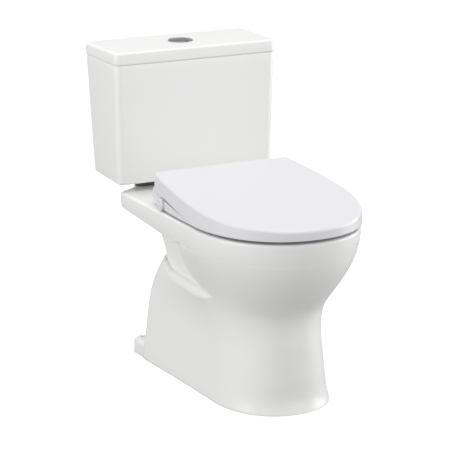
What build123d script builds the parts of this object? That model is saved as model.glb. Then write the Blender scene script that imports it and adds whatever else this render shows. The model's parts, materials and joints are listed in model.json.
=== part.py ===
from build123d import *
import os
from math import cos, sin, pi, radians

os.makedirs("parts", exist_ok=True)

# A two-piece toilet with a water-only bidet seat, in millimetres.
# Everything is drawn with x = 0 on the middle plane, y = 0 at the back of the tank lid and
# the front at negative y, and z = 0 on the floor. save() moves it to the middle of its footprint.

# Whole object
DEPTH = 755.0              # back of the tank lid to the tip of the seat lid
RIM_Z = 408.0              # top of the china rim and of the deck behind it
CHINA = 12.0               # wall of the glazed china
GLAZE_RADIUS = 6.0         # softened china edge

# Tank and its lid
TANK_LID_HALF = 206.0
TANK_LID_DEPTH = 178.0
TANK_LID_Z = (707.0, 736.0)
TANK_Z = (430.5, 707.0)
TANK_TOP_INSET = 1.2
TANK_BOTTOM_FRONT_HALF = 197.4
TANK_BOTTOM_BACK_HALF = 188.7
TANK_BOTTOM_FRONT_Y = -174.0
TANK_BOTTOM_BACK_Y = -4.0
TANK_CORNER = 15.0
TANK_WALL = 10.0
TANK_FLOOR = 14.0
VALVE_Y = -84.0            # flush outlet, on the middle plane
TANK_BOLT_X = 76.0
FILL_X, FILL_Y = 158.0, -62.0
FILL_TAIL_R = 10.5         # half-inch pipe thread below the tank
FILL_SHANK_R = 12.0        # thicker thread that carries the lock nut
FILL_TAIL_Z = (386.0, 420.0)
FILL_FLANGE_R = 19.0
FILL_COLUMN_R = 10.0
FLUSH_HOLE_R = 31.0        # in the tank's floor and in the deck below it
FLUSH_NECK_R = 29.5
FLUSH_NECK_BORE = 23.0
FLUSH_NUT_BORE = 29.6
CAGE_R = 38.0
CLIP_X = 48.0              # holds the end of the refill tube on the cage
FULL_ROD_X, HALF_ROD_X = -8.0, 15.0
ROD_R = 3.2
ROD_HOLE_R = 4.2
BOLT_R = 4.0
BOLT_FIT = 4.05            # bore of the washers and nuts on the bolts
TANK_BOLT_HOLE_R = 6.0
BUTTON_Y = -89.0
BUTTON_R = 24.4
BUTTON_SPLIT_X = 7.0       # the small half lies right of this line

# Bowl: height, half-width, widest y, tip y of the horizontal slices of its front
LOWER_SLICES = [
    (0.0, 132.4, -514.0, -678.0),
    (12.0, 131.0, -512.0, -671.0),
    (60.0, 125.0, -506.0, -664.0),
    (110.0, 121.0, -500.0, -660.0),
    (150.0, 119.0, -495.0, -656.0),
    (190.0, 121.0, -496.0, -651.0),
    (225.0, 128.0, -498.0, -660.0),
    (243.0, 134.0, -499.0, -674.0),
]
UPPER_SLICES = [
    (243.0, 134.0, -499.0, -674.0),
    (260.0, 141.0, -500.0, -690.0),
    (300.0, 159.0, -508.0, -722.0),
    (340.0, 176.0, -515.0, -743.0),
    (370.0, 184.5, -521.0, -750.0),
    (395.0, 187.0, -526.0, -752.0),
    (408.0, 187.0, -528.0, -752.0),
]
NOSE_POWER = 2.19          # roundness of the nose in plan, 2 is an ellipse
SKIRT_REAR = [             # height, half-width and y of the skirt's rear edge
    (0.0, 140.0, -150.0),
    (12.0, 139.0, -150.0),
    (60.0, 134.0, -153.0),
    (110.0, 131.0, -160.0),
    (150.0, 129.5, -170.0),
    (190.0, 128.0, -187.0),
    (225.0, 127.0, -210.0),
    (243.0, 126.0, -224.0),
]
SKIRT_CORNER = 22.0
NOTCH_FRONT = [(243.0, -494.0), (260.0, -470.0), (300.0, -439.0), (340.0, -437.0), (370.0, -437.0),
               (395.0, -437.0), (408.0, -437.0)]
PILLAR_HALF = 108.0
PILLAR_REAR_Y = -236.0
DECK_HALF = 187.0
DECK_REAR_Z = 375.0
DECK_FRONT_Z = 352.0
DECK_FRONT_Y = -437.0
DECK_CORNER_Y = -150.0
DECK_START_Y = -527.0      # inside the bowl, where deck and bowl are equally wide
DECK_CORNER_R = 10.0
TAIL_SHOULDER = (112.0, -104.0)
TAIL_HALF, TAIL_Y = 100.0, -38.0
FOOT_X, FOOT_Y, FOOT_R, FOOT_Z = 116.0, -114.0, 29.0, 28.0
FLOOR_HOLE_R = 4.5

# Well: height, half-width, y of its widest line, front y, rear y
WELL_SLICES = [
    (409.0, 146.0, -545.0, -712.0, -405.0),
    (395.0, 147.0, -545.0, -713.0, -405.0),
    (350.0, 141.0, -545.0, -702.0, -408.0),
    (300.0, 120.0, -538.0, -670.0, -414.0),
    (250.0, 92.0, -524.0, -622.0, -424.0),
    (200.0, 66.0, -504.0, -570.0, -436.0),
    (160.0, 46.0, -490.0, -534.0, -446.0),
    (132.0, 36.0, -484.0, -518.0, -450.0),
]
WELL_POWER = 2.1
TRAP_R = 26.0
OUTLET_Y = -285.0
OUTLET_R = 43.0
OUTLET_LENGTH = 40.0

# Bidet seat
HINGE_Y, HINGE_Z = -296.0, 438.0
HINGE_PIN_R = 4.0
LID_HALF = 190.3
LID_REAR_HALF = 174.0
LID_WIDE_Y = -528.0
LID_TIP_Y = -755.0
LID_REAR_Y = -295.0
LID_POWER = 2.16
LID_TIP_TOP_Z = 437.4
LID_REAR_TOP_Z = 487.0
LID_WALL = 3.6
LID_EDGE = 6.0
SKIRT_BOTTOM_Z = 415.5
LID_SLOPE = (LID_REAR_TOP_Z - LID_TIP_TOP_Z) / (LID_REAR_Y - LID_TIP_Y)
RING_HALF = 176.0
RING_TIP_Y = -745.0
RING_REAR_Y = -405.0
RING_BOTTOM_Z = 415.2
RING_TOP_TIP_Z = 428.5
RING_TOP_REAR_Z = 442.0
RING_HOLE = (108.0, -560.0, -688.0, -448.0)   # half-width, widest y, front y, rear y
BASE_HALF = 168.0
BASE_Y = (-402.0, -285.0)
BASE_Z = (412.5, 450.0)
BASE_WALL = 3.0
SILL_Z = 424.0
SEAT_ARM_X = (131.0, 141.0)
LID_ARM_X = (142.5, 153.0)
EAR_X = 154.5
MAIN_HALF = 129.5
SEAT_BOLT_X, SEAT_BOLT_Y = 70.0, -335.0
KNOB_Y, KNOB_Z, KNOB_R = -362.0, 424.5, 13.5
KNOB_X = (-189.0, -178.0)
SHAFT_R = 3.0
RUNNING = 0.05             # radial clearance of a turning or sliding fit
NOZZLE_X = 13.0
NOZZLE_R = 4.5
NOZZLE_SLOPE = radians(10.0)
NOZZLE_TIP = (-436.0, 408.2)                  # y and z of the retracted tip
NOZZLE_LENGTH = 84.0
INLET_Y, INLET_Z, INLET_R = -312.0, 424.5, 10.4
TUBE_R = 3.0
GUARD_Y, GUARD_Z = -402.4, 427.4              # hinge line of the nozzle guard


def save(name, *pieces):
    """Writes the pieces as one node, moved so that the origin is under the middle of the object."""
    moved = [piece.moved(Location((0, DEPTH / 2, 0))) for piece in pieces]
    shape = moved[0] if len(moved) == 1 else Compound(children=moved)
    export_step(shape, f"parts/{name}.step")


def block(x, y, z):
    """A box between two x, two y and two z values."""
    size = (x[1] - x[0], y[1] - y[0], z[1] - z[0])
    return Pos((x[0] + x[1]) / 2, (y[0] + y[1]) / 2, (z[0] + z[1]) / 2) * Box(*size)


def post(x, y, z, r, bore=0.0):
    """An upright cylinder between two z values, with an optional bore."""
    middle = Pos(x, y, (z[0] + z[1]) / 2)
    solid = middle * Cylinder(r, z[1] - z[0])
    if bore:
        solid -= middle * Cylinder(bore, z[1] - z[0] + 2)
    return solid


def spindle(x, y, z, r, bore=0.0):
    """A cylinder along X between two x values, with an optional bore."""
    middle = Pos((x[0] + x[1]) / 2, y, z) * Rot(0, 90, 0)
    solid = middle * Cylinder(r, x[1] - x[0])
    if bore:
        solid -= middle * Cylinder(bore, x[1] - x[0] + 2)
    return solid


def hexagon(x, y, z, r, bore):
    """An upright hexagonal nut."""
    nut = Pos(x, y, z[0]) * extrude(RegularPolygon(r, 6), z[1] - z[0])
    return nut - post(x, y, (z[0] - 1, z[1] + 1), bore)


def both_sides(solid):
    """The solid and its mirror image across the middle plane."""
    return [solid, mirror(solid, about=Plane.YZ)]


def plate(points, z, radius=0.0):
    """A polygon in plan, its corners rounded, extruded between two z values."""
    face = make_face(Polyline(*points, close=True))
    if radius:
        face = fillet(face.vertices(), radius)
    return Pos(0, 0, z[0]) * extrude(face, z[1] - z[0])


def side_profile(points, x):
    """A polygon of (y, z) points extruded along X between two x values."""
    face = make_face(Polyline(*[(0, y, z) for y, z in points], close=True))
    return Pos(x[0], 0, 0) * extrude(face, x[1] - x[0], dir=(1, 0, 0))


def nose(z, half, wide_y, tip_y, power, steps=14):
    """The front of a slice: x = w cos^(2/n), y = wide + (tip - wide) sin^(2/n), as one spline."""
    points = []
    for i in range(steps + 1):
        a = pi * i / steps
        c = cos(a)
        x = half * (abs(c) ** (2 / power)) * (1 if c >= 0 else -1)
        y = wide_y + (tip_y - wide_y) * abs(sin(a)) ** (2 / power)
        points.append((x, y, z))
    return Spline(*points, tangents=[(0, -1, 0), (0, 1, 0)])


def oval(z, half, wide_y, front_y, rear_y, power):
    """A closed egg-shaped slice: a nose to the front and another to the rear."""
    front = nose(z, half, wide_y, front_y, power)
    rear = mirror(nose(z, half, 0, wide_y - rear_y, power), about=Plane.XZ)
    rear = Pos(0, wide_y, 0) * rear
    return make_face([front, rear])


def horseshoe(z, half, wide_y, tip_y, rear_half, rear_y, corner=0.0, power=NOSE_POWER):
    """A slice with a round nose, sides that leave it smoothly, and a flat rear with rounded corners."""
    front = nose(z, half, wide_y, tip_y, power)
    rear = Line((-rear_half, rear_y, z), (rear_half, rear_y, z))
    sides = []
    for side in (-1, 1):
        start, end = (side * half, wide_y, z), (side * rear_half, rear_y, z)
        sides.append(Edge.make_tangent_arc(start, (0, 1, 0), end))
    face = make_face([front, rear] + sides)
    if corner:
        face = fillet(face.vertices().sort_by(Axis.Y)[-2:], corner)
    return face


def inset(slices, wall):
    """The same slices with a wall taken off their width and nose."""
    return [(z, half - wall, wide, tip + wall) for z, half, wide, tip in slices]


def skirt(wall=0.0):
    """The lower body, from the floor to the shelf; wall > 0 gives the hollow inside it."""
    faces = []
    for (z, half, wide, tip), (_, rear_half, rear_y) in zip(inset(LOWER_SLICES, wall), SKIRT_REAR):
        corner = SKIRT_CORNER - wall * 0.8
        faces.append(horseshoe(z, half, wide, tip, rear_half - wall, rear_y - wall, corner))
    return loft(faces)


def upper_bowl(wall=0.0):
    """The round front from the shelf to the rim, cut off behind by the notches."""
    faces = []
    for (z, half, wide, tip), (_, rear_y) in zip(inset(UPPER_SLICES, wall), NOTCH_FRONT):
        rear_half = half - 0.02 * (rear_y - wide)
        rear_y = max(rear_y - wall, wide + 3)
        faces.append(horseshoe(z, half, wide, tip, rear_half, rear_y))
    return loft(faces)


def pillar():
    """The neck that joins skirt and deck behind the bowl; it widens into the bowl's side."""
    right = [(PILLAR_HALF, PILLAR_REAR_Y), (PILLAR_HALF, -340), (PILLAR_HALF + 6, -400),
             (PILLAR_HALF + 16, -470), (PILLAR_HALF + 18, -520)]
    left = [(-x, y) for x, y in reversed(right)]
    return plate(right + left, (236.0, 366.0))


def deck_slice(z, front_half, side_half):
    """The deck's outline at one height, all but its two front corners rounded."""
    right = [(front_half, DECK_START_Y, z), (side_half, DECK_CORNER_Y, z)]
    right += [(*TAIL_SHOULDER, z), (TAIL_HALF, TAIL_Y, z)]
    left = [(-x, y, z) for x, y, z in reversed(right)]
    face = make_face(Polyline(*right, *left, close=True))
    return fillet(face.vertices().sort_by(Axis.Y)[2:], DECK_CORNER_R)


def deck():
    """The shelf that carries the tank and the seat; its sides lean in a little towards their foot."""
    low = deck_slice(DECK_FRONT_Z - 20, DECK_HALF - 14, DECK_HALF - 6)
    slab = loft([low, deck_slice(RIM_Z, DECK_HALF - 0.5, DECK_HALF)], ruled=True)
    slope = (DECK_REAR_Z - DECK_FRONT_Z) / (DECK_CORNER_Y - DECK_FRONT_Y)
    side = [(0, DECK_REAR_Z), (DECK_CORNER_Y, DECK_REAR_Z), (DECK_FRONT_Y, DECK_FRONT_Z),
            (DECK_START_Y - 1, DECK_FRONT_Z + (DECK_START_Y - 1 - DECK_FRONT_Y) * slope),
            (DECK_START_Y - 1, RIM_Z + 1), (0, RIM_Z + 1)]
    return slab & side_profile(side, (-DECK_HALF - 5, DECK_HALF + 5))


def trap_path():
    """The siphon's middle line: out of the sump, over the weir and down to the outlet."""
    points = [(0, -500, 168), (0, -455, 128), (0, -392, 176), (0, -345, 262)]
    points += [(0, OUTLET_Y, 262), (0, OUTLET_Y, 20)]
    return FilletPolyline(*points, radius=27)


def trapway(radius):
    """A round tube of the given radius along the siphon."""
    path = trap_path()
    section = Plane(origin=path @ 0, z_dir=path % 0) * Circle(radius)
    return sweep(section, path=path)


def well(wall=0.0):
    """The basin inside the rim; wall > 0 gives the china shell round it."""
    faces = []
    for z, half, wide, front, rear in WELL_SLICES:
        faces.append(oval(z, half + wall, wide, front - wall, rear + wall, WELL_POWER))
    return loft(faces)


def bowl():
    outside = skirt() + upper_bowl() + pillar() + deck()
    for x in (-FOOT_X, FOOT_X):
        foot = block((x - FOOT_R, x + FOOT_R), (-200, FOOT_Y), (0, FOOT_Z))
        foot += post(x, FOOT_Y, (0, FOOT_Z), FOOT_R)
        outside += foot
    inlet_cup = block((-57, 57), (-300, -34), (350, DECK_REAR_Z + 2))
    outside += inlet_cup

    hollow = Pos(0, 0, -1) * skirt(CHINA)
    hollow += upper_bowl(CHINA) & block((-200, 200), (-760, -300), (230, 392))
    hollow += block((-PILLAR_HALF + CHINA, PILLAR_HALF - CHINA), (-452, PILLAR_REAR_Y - CHINA), (225, 343))
    shell = outside - hollow

    basin = well(CHINA) + trapway(TRAP_R + 9) + post(0, -485, (118, 140), 46)
    horn = post(0, OUTLET_Y, (0, OUTLET_LENGTH + 12), OUTLET_R + 10)
    shell += (basin & outside) + horn
    shell -= well()
    shell -= post(0, -485, (126, 140), 33)
    shell -= trapway(TRAP_R)
    shell -= post(0, OUTLET_Y, (-1, OUTLET_LENGTH), OUTLET_R)

    shell -= post(0, VALVE_Y, (362, RIM_Z + 1), FLUSH_HOLE_R)
    shell -= block((-44, 44), (-430, VALVE_Y), (362, 390))
    for x in (-1, 1):
        shell -= post(x * TANK_BOLT_X, VALVE_Y, (340, RIM_Z + 1), TANK_BOLT_HOLE_R)
        shell -= post(x * SEAT_BOLT_X, SEAT_BOLT_Y, (366, RIM_Z + 1), 8)
        shell -= post(x * FOOT_X, FOOT_Y, (-1, FOOT_Z + 1), FLOOR_HOLE_R)
    return shell


def outlet_gasket():
    return post(0, OUTLET_Y, (2, 24), OUTLET_R + 22, OUTLET_R + 10.1)


def tank_slice(z, front_half, back_half, front_y, back_y, corner):
    points = [(-front_half, front_y, z), (front_half, front_y, z)]
    points += [(back_half, back_y, z), (-back_half, back_y, z)]
    face = make_face(Polyline(*points, close=True))
    return fillet(face.vertices(), corner)


def cistern_tank():
    top_half = TANK_LID_HALF - TANK_TOP_INSET
    top_y = (-TANK_LID_DEPTH + TANK_TOP_INSET, -TANK_TOP_INSET)
    bottom = (TANK_BOTTOM_FRONT_HALF, TANK_BOTTOM_BACK_HALF, TANK_BOTTOM_FRONT_Y, TANK_BOTTOM_BACK_Y)
    outer = loft([tank_slice(TANK_Z[0], *bottom, TANK_CORNER),
                  tank_slice(TANK_Z[1], top_half, top_half, *top_y, TANK_CORNER)], ruled=True)
    outer = fillet(outer.faces().sort_by(Axis.Z)[0].edges(), GLAZE_RADIUS)
    w = TANK_WALL
    inside_bottom = (bottom[0] - w, bottom[1] - w, bottom[2] + w, bottom[3] - w)
    inner = loft([tank_slice(TANK_Z[0] + TANK_FLOOR, *inside_bottom, 8.0),
                  tank_slice(TANK_Z[1] + 1, top_half - w, top_half - w, top_y[0] + w, top_y[1] - w, 8.0)],
                 ruled=True)
    tank = outer - inner
    floor = (TANK_Z[0] - 1, TANK_Z[0] + TANK_FLOOR + 1)
    tank -= post(0, VALVE_Y, floor, FLUSH_HOLE_R)
    tank -= post(FILL_X, FILL_Y, floor, FILL_SHANK_R + 1)
    for x in (-TANK_BOLT_X, TANK_BOLT_X):
        tank -= post(x, VALVE_Y, floor, TANK_BOLT_HOLE_R)
    return tank


def tank_lid():
    low, high = TANK_LID_Z
    x, y = (-TANK_LID_HALF, TANK_LID_HALF), (-TANK_LID_DEPTH, 0)
    shell = block(x, y, (low, high))
    shell = fillet(shell.edges().filter_by(Axis.Z), TANK_CORNER)
    shell = fillet(shell.faces().sort_by(Axis.Z)[-1].edges(), 9.0)
    shell -= block((x[0] + 24, x[1] - 24), (y[0] + 24, y[1] - 24), (low - 1, high - 12))
    reach = TANK_TOP_INSET + TANK_WALL + 2
    lip = block((x[0] + reach, x[1] - reach), (y[0] + reach, y[1] - reach), (low - 9, low + 1))
    lip = fillet(lip.edges().filter_by(Axis.Z), 9.0)
    lip -= block((x[0] + 24, x[1] - 24), (y[0] + 24, y[1] - 24), (low - 10, low + 2))
    return shell + lip - post(0, BUTTON_Y, (low - 1, high + 1), BUTTON_R + 3)


def button_bezel():
    high = TANK_LID_Z[1]
    ring = post(0, BUTTON_Y, (high - 24, high + 0.6), BUTTON_R + 2.9, BUTTON_R + 0.3)
    flange = post(0, BUTTON_Y, (high, high + 2), BUTTON_R + 5, BUTTON_R + 0.3)
    flange = chamfer(flange.edges().sort_by(Axis.Z)[-2:].sort_by(SortBy.RADIUS)[-1:], 1.2)
    floor = post(0, BUTTON_Y, (high - 27, high - 24), BUTTON_R + 2.9)
    for x in (FULL_ROD_X, HALF_ROD_X):
        floor -= post(x, BUTTON_Y, (high - 30, high - 20), ROD_HOLE_R)
    return ring + flange + floor


def button_dome():
    """A disc whose top is a shallow cap of a ball."""
    high = TANK_LID_Z[1]
    rise = 4.2
    ball_r = (BUTTON_R ** 2 + rise ** 2) / (2 * rise)
    ball = Pos(0, BUTTON_Y, high + 1.5 + rise - ball_r) * Sphere(ball_r)
    disc = post(0, BUTTON_Y, (high - 8, high + 12), BUTTON_R)
    return disc & ball


def flush_button(side):
    gap = 0.4
    if side < 0:
        half = block((-40, BUTTON_SPLIT_X - gap), (BUTTON_Y - 40, BUTTON_Y + 40), (700, 760))
    else:
        half = block((BUTTON_SPLIT_X + gap, 40), (BUTTON_Y - 40, BUTTON_Y + 40), (700, 760))
    return button_dome() & half


def push_rod(x):
    top = TANK_LID_Z[1] - 8
    return post(x, BUTTON_Y, (668, top), ROD_R)


def button_spring(x):
    top = TANK_LID_Z[1] - 8
    return post(x, BUTTON_Y, (top - 16, top), 5.2, 3.6)


def flush_valve_base():
    floor = TANK_Z[0] + TANK_FLOOR
    neck = post(0, VALVE_Y, (412, floor + 6), FLUSH_NECK_R, FLUSH_NECK_BORE)
    flange = post(0, VALVE_Y, (floor + 1.5, floor + 6), CAGE_R + 4, FLUSH_NECK_BORE)
    return neck + flange


def flush_valve_washer():
    floor = TANK_Z[0] + TANK_FLOOR
    return post(0, VALVE_Y, (floor, floor + 1.5), CAGE_R + 3, FLUSH_NUT_BORE)


def flush_valve_locknut():
    return hexagon(0, VALVE_Y, (416, TANK_Z[0]), 36, FLUSH_NUT_BORE)


def flush_valve_cage():
    low, high = 450.5, 620.0
    tube = post(0, VALVE_Y, (low, high), CAGE_R, CAGE_R - 4)
    for turn in (0, 90):
        window = Pos(0, VALVE_Y, 0) * Rot(0, 0, turn + 45) * block((-60, 60), (-15, 15), (458, 540))
        tube -= window
    top = post(0, VALVE_Y, (high, high + 6), CAGE_R, 12)
    head = block((-24, 24), (VALVE_Y - 20, VALVE_Y + 20), (high + 30, high + 46))
    for x in (FULL_ROD_X, HALF_ROD_X):
        head -= post(x, BUTTON_Y, (high, high + 60), ROD_HOLE_R)
    for x in (-30, 30):
        head += block((x - 6, x + 6), (VALVE_Y - 8, VALVE_Y + 8), (high + 6, high + 46))
    clip = post(CLIP_X, VALVE_Y, (590, 604), 7)
    clip += block((CAGE_R - 2, CLIP_X), (VALVE_Y - 4, VALVE_Y + 4), (590, 604))
    return tube + top + head + clip - post(CLIP_X, VALVE_Y, (596, 610), 3.6)


def flush_valve_stem():
    canister = post(0, VALVE_Y, (453.5, 585), 24, 20)
    canister += post(0, VALVE_Y, (453.5, 458), 28, 20)
    canister += post(0, VALVE_Y, (582, 588), 24)
    return canister + post(0, VALVE_Y, (588, 624), 7)


def flush_valve_seal():
    return post(0, VALVE_Y, (450.5, 453.5), 29, 18)


def tank_cushion():
    points = [(-138, -130), (138, -130), (100, -42), (-100, -42)]
    pad = plate(points, (RIM_Z, TANK_Z[0]), 12.0)
    pad -= post(0, VALVE_Y, (400, 440), 38)
    for x in (-TANK_BOLT_X, TANK_BOLT_X):
        pad -= post(x, VALVE_Y, (400, 440), 5)
    return pad


def tank_bolts():
    floor = TANK_Z[0] + TANK_FLOOR
    bolts = []
    for x in (-TANK_BOLT_X, TANK_BOLT_X):
        bolts.append(post(x, VALVE_Y, (350, floor + 3), BOLT_R) + post(x, VALVE_Y, (floor + 3, floor + 8), 9))
    return bolts


def tank_bolt_washers():
    floor = TANK_Z[0] + TANK_FLOOR
    return [post(x, VALVE_Y, (floor, floor + 3), 12, BOLT_FIT) for x in (-TANK_BOLT_X, TANK_BOLT_X)]


def tank_bolt_nuts():
    nuts = []
    for x in (-TANK_BOLT_X, TANK_BOLT_X):
        flange = post(x, VALVE_Y, (DECK_REAR_Z - 3, DECK_REAR_Z), 13, BOLT_FIT)
        wings = block((x - 3, x + 3), (VALVE_Y - 16, VALVE_Y + 16), (DECK_REAR_Z - 16, DECK_REAR_Z - 3))
        body = flange + post(x, VALVE_Y, (DECK_REAR_Z - 16, DECK_REAR_Z - 3), 8) + wings
        nuts.append(body - post(x, VALVE_Y, (340, DECK_REAR_Z + 1), BOLT_FIT))
    return nuts


def fill_valve_body():
    floor = TANK_Z[0] + TANK_FLOOR
    tail = post(FILL_X, FILL_Y, FILL_TAIL_Z, FILL_TAIL_R, 4)
    shank = post(FILL_X, FILL_Y, (FILL_TAIL_Z[1], floor + 3), FILL_SHANK_R, 4)
    flange = post(FILL_X, FILL_Y, (floor + 3, floor + 8), FILL_FLANGE_R)
    column = post(FILL_X, FILL_Y, (floor + 8, 622), FILL_COLUMN_R)
    stop = post(FILL_X, FILL_Y, (540, 545), 14)
    return tail + shank + flange + column + stop


def fill_valve_float():
    return post(FILL_X, FILL_Y, (545.2, 590), 23, FILL_COLUMN_R + RUNNING)


def fill_valve_washer():
    floor = TANK_Z[0] + TANK_FLOOR
    return post(FILL_X, FILL_Y, (floor, floor + 3), FILL_FLANGE_R, FILL_SHANK_R + 0.1)


def fill_valve_locknut():
    return hexagon(FILL_X, FILL_Y, (421, TANK_Z[0]), 18.5, FILL_SHANK_R + 0.1)


def fill_valve_cap():
    cap = post(FILL_X, FILL_Y, (622, 646), 20)
    cap = fillet(cap.faces().sort_by(Axis.Z)[-1].edges(), 3)
    return cap + spindle((FILL_X - 32, FILL_X - 19), FILL_Y, 634, 4)


def refill_tube():
    points = [(FILL_X - 32, FILL_Y, 634), (FILL_X - 75, FILL_Y, 634)]
    points += [(CLIP_X, VALVE_Y, 634), (CLIP_X, VALVE_Y, 596)]
    path = FilletPolyline(*points, radius=14)
    section = Plane(origin=path @ 0, z_dir=path % 0) * Circle(3.5)
    return sweep(section, path=path)


def seat_mounting_plate():
    panel = plate([(-94, -298), (94, -298), (94, -347), (-94, -347)], (RIM_Z, 418), 8)
    for x in (-SEAT_BOLT_X, SEAT_BOLT_X):
        panel -= post(x, SEAT_BOLT_Y, (400, 430), 4.4)
        panel -= post(x, SEAT_BOLT_Y, (412, 430), 9)
    return panel


def seat_fixing_bolts():
    return [post(x, SEAT_BOLT_Y, (368, 412), BOLT_R) + post(x, SEAT_BOLT_Y, (412, 417), 8)
            for x in (-SEAT_BOLT_X, SEAT_BOLT_X)]


def seat_fixing_bushes():
    return [post(x, SEAT_BOLT_Y, (374, RIM_Z - 0.2), 7.9, BOLT_FIT) for x in (-SEAT_BOLT_X, SEAT_BOLT_X)]


def seat_fixing_nuts():
    return [post(x, SEAT_BOLT_Y, (366.5, 374), 7.6, BOLT_FIT) for x in (-SEAT_BOLT_X, SEAT_BOLT_X)]


def base_section(shrink=0.0):
    """The housing's side view: flat front and top, its rear rounded about the hinge."""
    front, low, high = BASE_Y[0] + shrink, BASE_Z[0], BASE_Z[1] - shrink
    radius = 11.0 - shrink
    rear = HINGE_Y + radius
    bottom = Line((front, low), (rear, low))
    back = Line((rear, low), (rear, HINGE_Z))
    corner = CenterArc((HINGE_Y, HINGE_Z), radius, 0, 90)
    slope = Line((HINGE_Y, HINGE_Z + radius), (front + 24, high))
    fall = Line((front + 24, high), (front, SILL_Z - shrink))
    close = Line((front, SILL_Z - shrink), (front, low))
    return Plane.YZ * make_face([bottom, back, corner, slope, fall, close])


def base_bar(x, shrink=0.0):
    return Pos(x[0], 0, 0) * extrude(base_section(shrink), x[1] - x[0], dir=(1, 0, 0))


def bidet_base_cover():
    main = base_bar((-MAIN_HALF, MAIN_HALF))
    main -= base_bar((-MAIN_HALF + BASE_WALL, MAIN_HALF - BASE_WALL), BASE_WALL)
    cover = main
    for side in (-1, 1):
        cover += block(sorted((side * (MAIN_HALF - 1), side * EAR_X)), BASE_Y, (BASE_Z[0], SILL_Z))
        cover += base_bar(sorted((side * (EAR_X - 1), side * BASE_HALF)))
    for x in ((-EAR_X - 11.0, -MAIN_HALF + BASE_WALL + 1), (MAIN_HALF - BASE_WALL - 1, EAR_X + 11.0)):
        cover -= spindle(x, HINGE_Y, HINGE_Z, HINGE_PIN_R + 0.02)
    cover -= spindle((-200, -MAIN_HALF + 5), KNOB_Y, KNOB_Z, SHAFT_R + 0.3)
    cover -= spindle((MAIN_HALF - 5, 200), INLET_Y, INLET_Z, TUBE_R + 0.3)
    for x in (-NOZZLE_X, NOZZLE_X):
        front_wall = block((-40, 40), (BASE_Y[0] - 8, BASE_Y[0] + 7), (400, 440))
        cover -= nozzle_bar(x, NOZZLE_R + 1.2, -200, 200) & front_wall
    return cover


def bidet_base_bottom():
    x = MAIN_HALF - BASE_WALL - 0.2
    panel = block((-x, x), (BASE_Y[0] + BASE_WALL + 0.2, BASE_Y[1] - BASE_WALL - 0.2), (BASE_Z[0], 415.0))
    window = block((-95, 95), (-389, -297), (400, 430)) + block((-24, 24), (-402, -380), (400, 430))
    return panel - window


def hinge_pins():
    return both_sides(spindle((MAIN_HALF - BASE_WALL - 1, EAR_X + 10.8), HINGE_Y, HINGE_Z, HINGE_PIN_R))


def seat_ring():
    outline = horseshoe(0, RING_HALF, LID_WIDE_Y, RING_TIP_Y, RING_HALF - 6, RING_REAR_Y, 12.0, LID_POWER)
    ring = Pos(0, 0, RING_BOTTOM_Z) * extrude(outline, 40)
    ring -= Pos(0, 0, 400) * extrude(oval(0, *RING_HOLE, 2.1), 60)
    side = [(-800, 400), (-300, 400), (-300, ring_top(-300)), (-800, ring_top(-800))]
    ring &= side_profile(side, (-200, 200))
    ring -= block((-24, 24), (-470, -400), (410, 421))
    ring -= block((-30, 30), (-415, -400), (410, 432))
    for arm in both_sides(seat_arm()):
        ring += arm
    return ring


def ring_top(y):
    """Height of the seat ring's top, which rises to the rear."""
    share = (y - RING_TIP_Y) / (RING_REAR_Y - RING_TIP_Y)
    return RING_TOP_TIP_Z + share * (RING_TOP_REAR_Z - RING_TOP_TIP_Z)


def seat_arm():
    arm = block(SEAT_ARM_X, (RING_REAR_Y - 12, HINGE_Y), (430, 441.5))
    arm += spindle(SEAT_ARM_X, HINGE_Y, HINGE_Z, 9)
    return arm - spindle((100, 180), HINGE_Y, HINGE_Z, HINGE_PIN_R + RUNNING)


def seat_buffers():
    pads = []
    for x, y in ((163, -500), (72, -700)):
        pads += both_sides(post(x, y, (RIM_Z, RING_BOTTOM_Z), 8))
    return pads


def lid_top(y):
    """Height of the lid's top plane, which falls to the front."""
    return LID_TIP_TOP_Z + (y - LID_TIP_Y) * LID_SLOPE


def lid_body(shrink=0.0):
    """The lid's outer form, or with shrink its inner form."""
    outline = horseshoe(0, LID_HALF - shrink, LID_WIDE_Y, LID_TIP_Y + shrink, LID_REAR_HALF - shrink,
                        LID_REAR_Y - shrink, 16.0 - shrink, LID_POWER)
    body = Pos(0, 0, 400) * extrude(outline, 110)
    side = [(-800, 390), (-250, 390), (-250, lid_top(-250) - shrink), (-800, lid_top(-800) - shrink)]
    return body & side_profile(side, (-220, 220))


def skirt_cut():
    """The space under the lid's skirt: low in front, stepping up beside the controls and hinge."""
    side = [(-800, 380), (-250, 380), (-250, 455.5), (-323, 449), (-326, 440), (-377, 440),
            (-526, SKIRT_BOTTOM_Z + 3), (-532, SKIRT_BOTTOM_Z), (-800, SKIRT_BOTTOM_Z)]
    return side_profile(side, (-220, 220))


def seat_lid():
    outer = lid_body()
    outer = fillet(outer.faces().sort_by(Axis.Z)[-1].edges(), LID_EDGE)
    shell = outer - lid_body(LID_WALL) - skirt_cut()
    for arm in both_sides(lid_arm()):
        shell += arm & lid_body(1.0)
    return shell - spindle((-160, 160), HINGE_Y, HINGE_Z, HINGE_PIN_R + RUNNING)


def lid_arm():
    knuckle = spindle(LID_ARM_X, HINGE_Y, HINGE_Z, 8.5)
    rib = block(LID_ARM_X, (HINGE_Y - 14, HINGE_Y - 2), (HINGE_Z, 486))
    return knuckle + rib


def lid_buffers():
    pads = []
    for x, y in ((70, -690), (150, -500)):
        top = lid_top(y) - LID_WALL + 1.5
        pads += both_sides(post(x, y, (ring_top(y) + 0.6, top), 6) & lid_body(LID_WALL - 1.0))
    return pads


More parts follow.
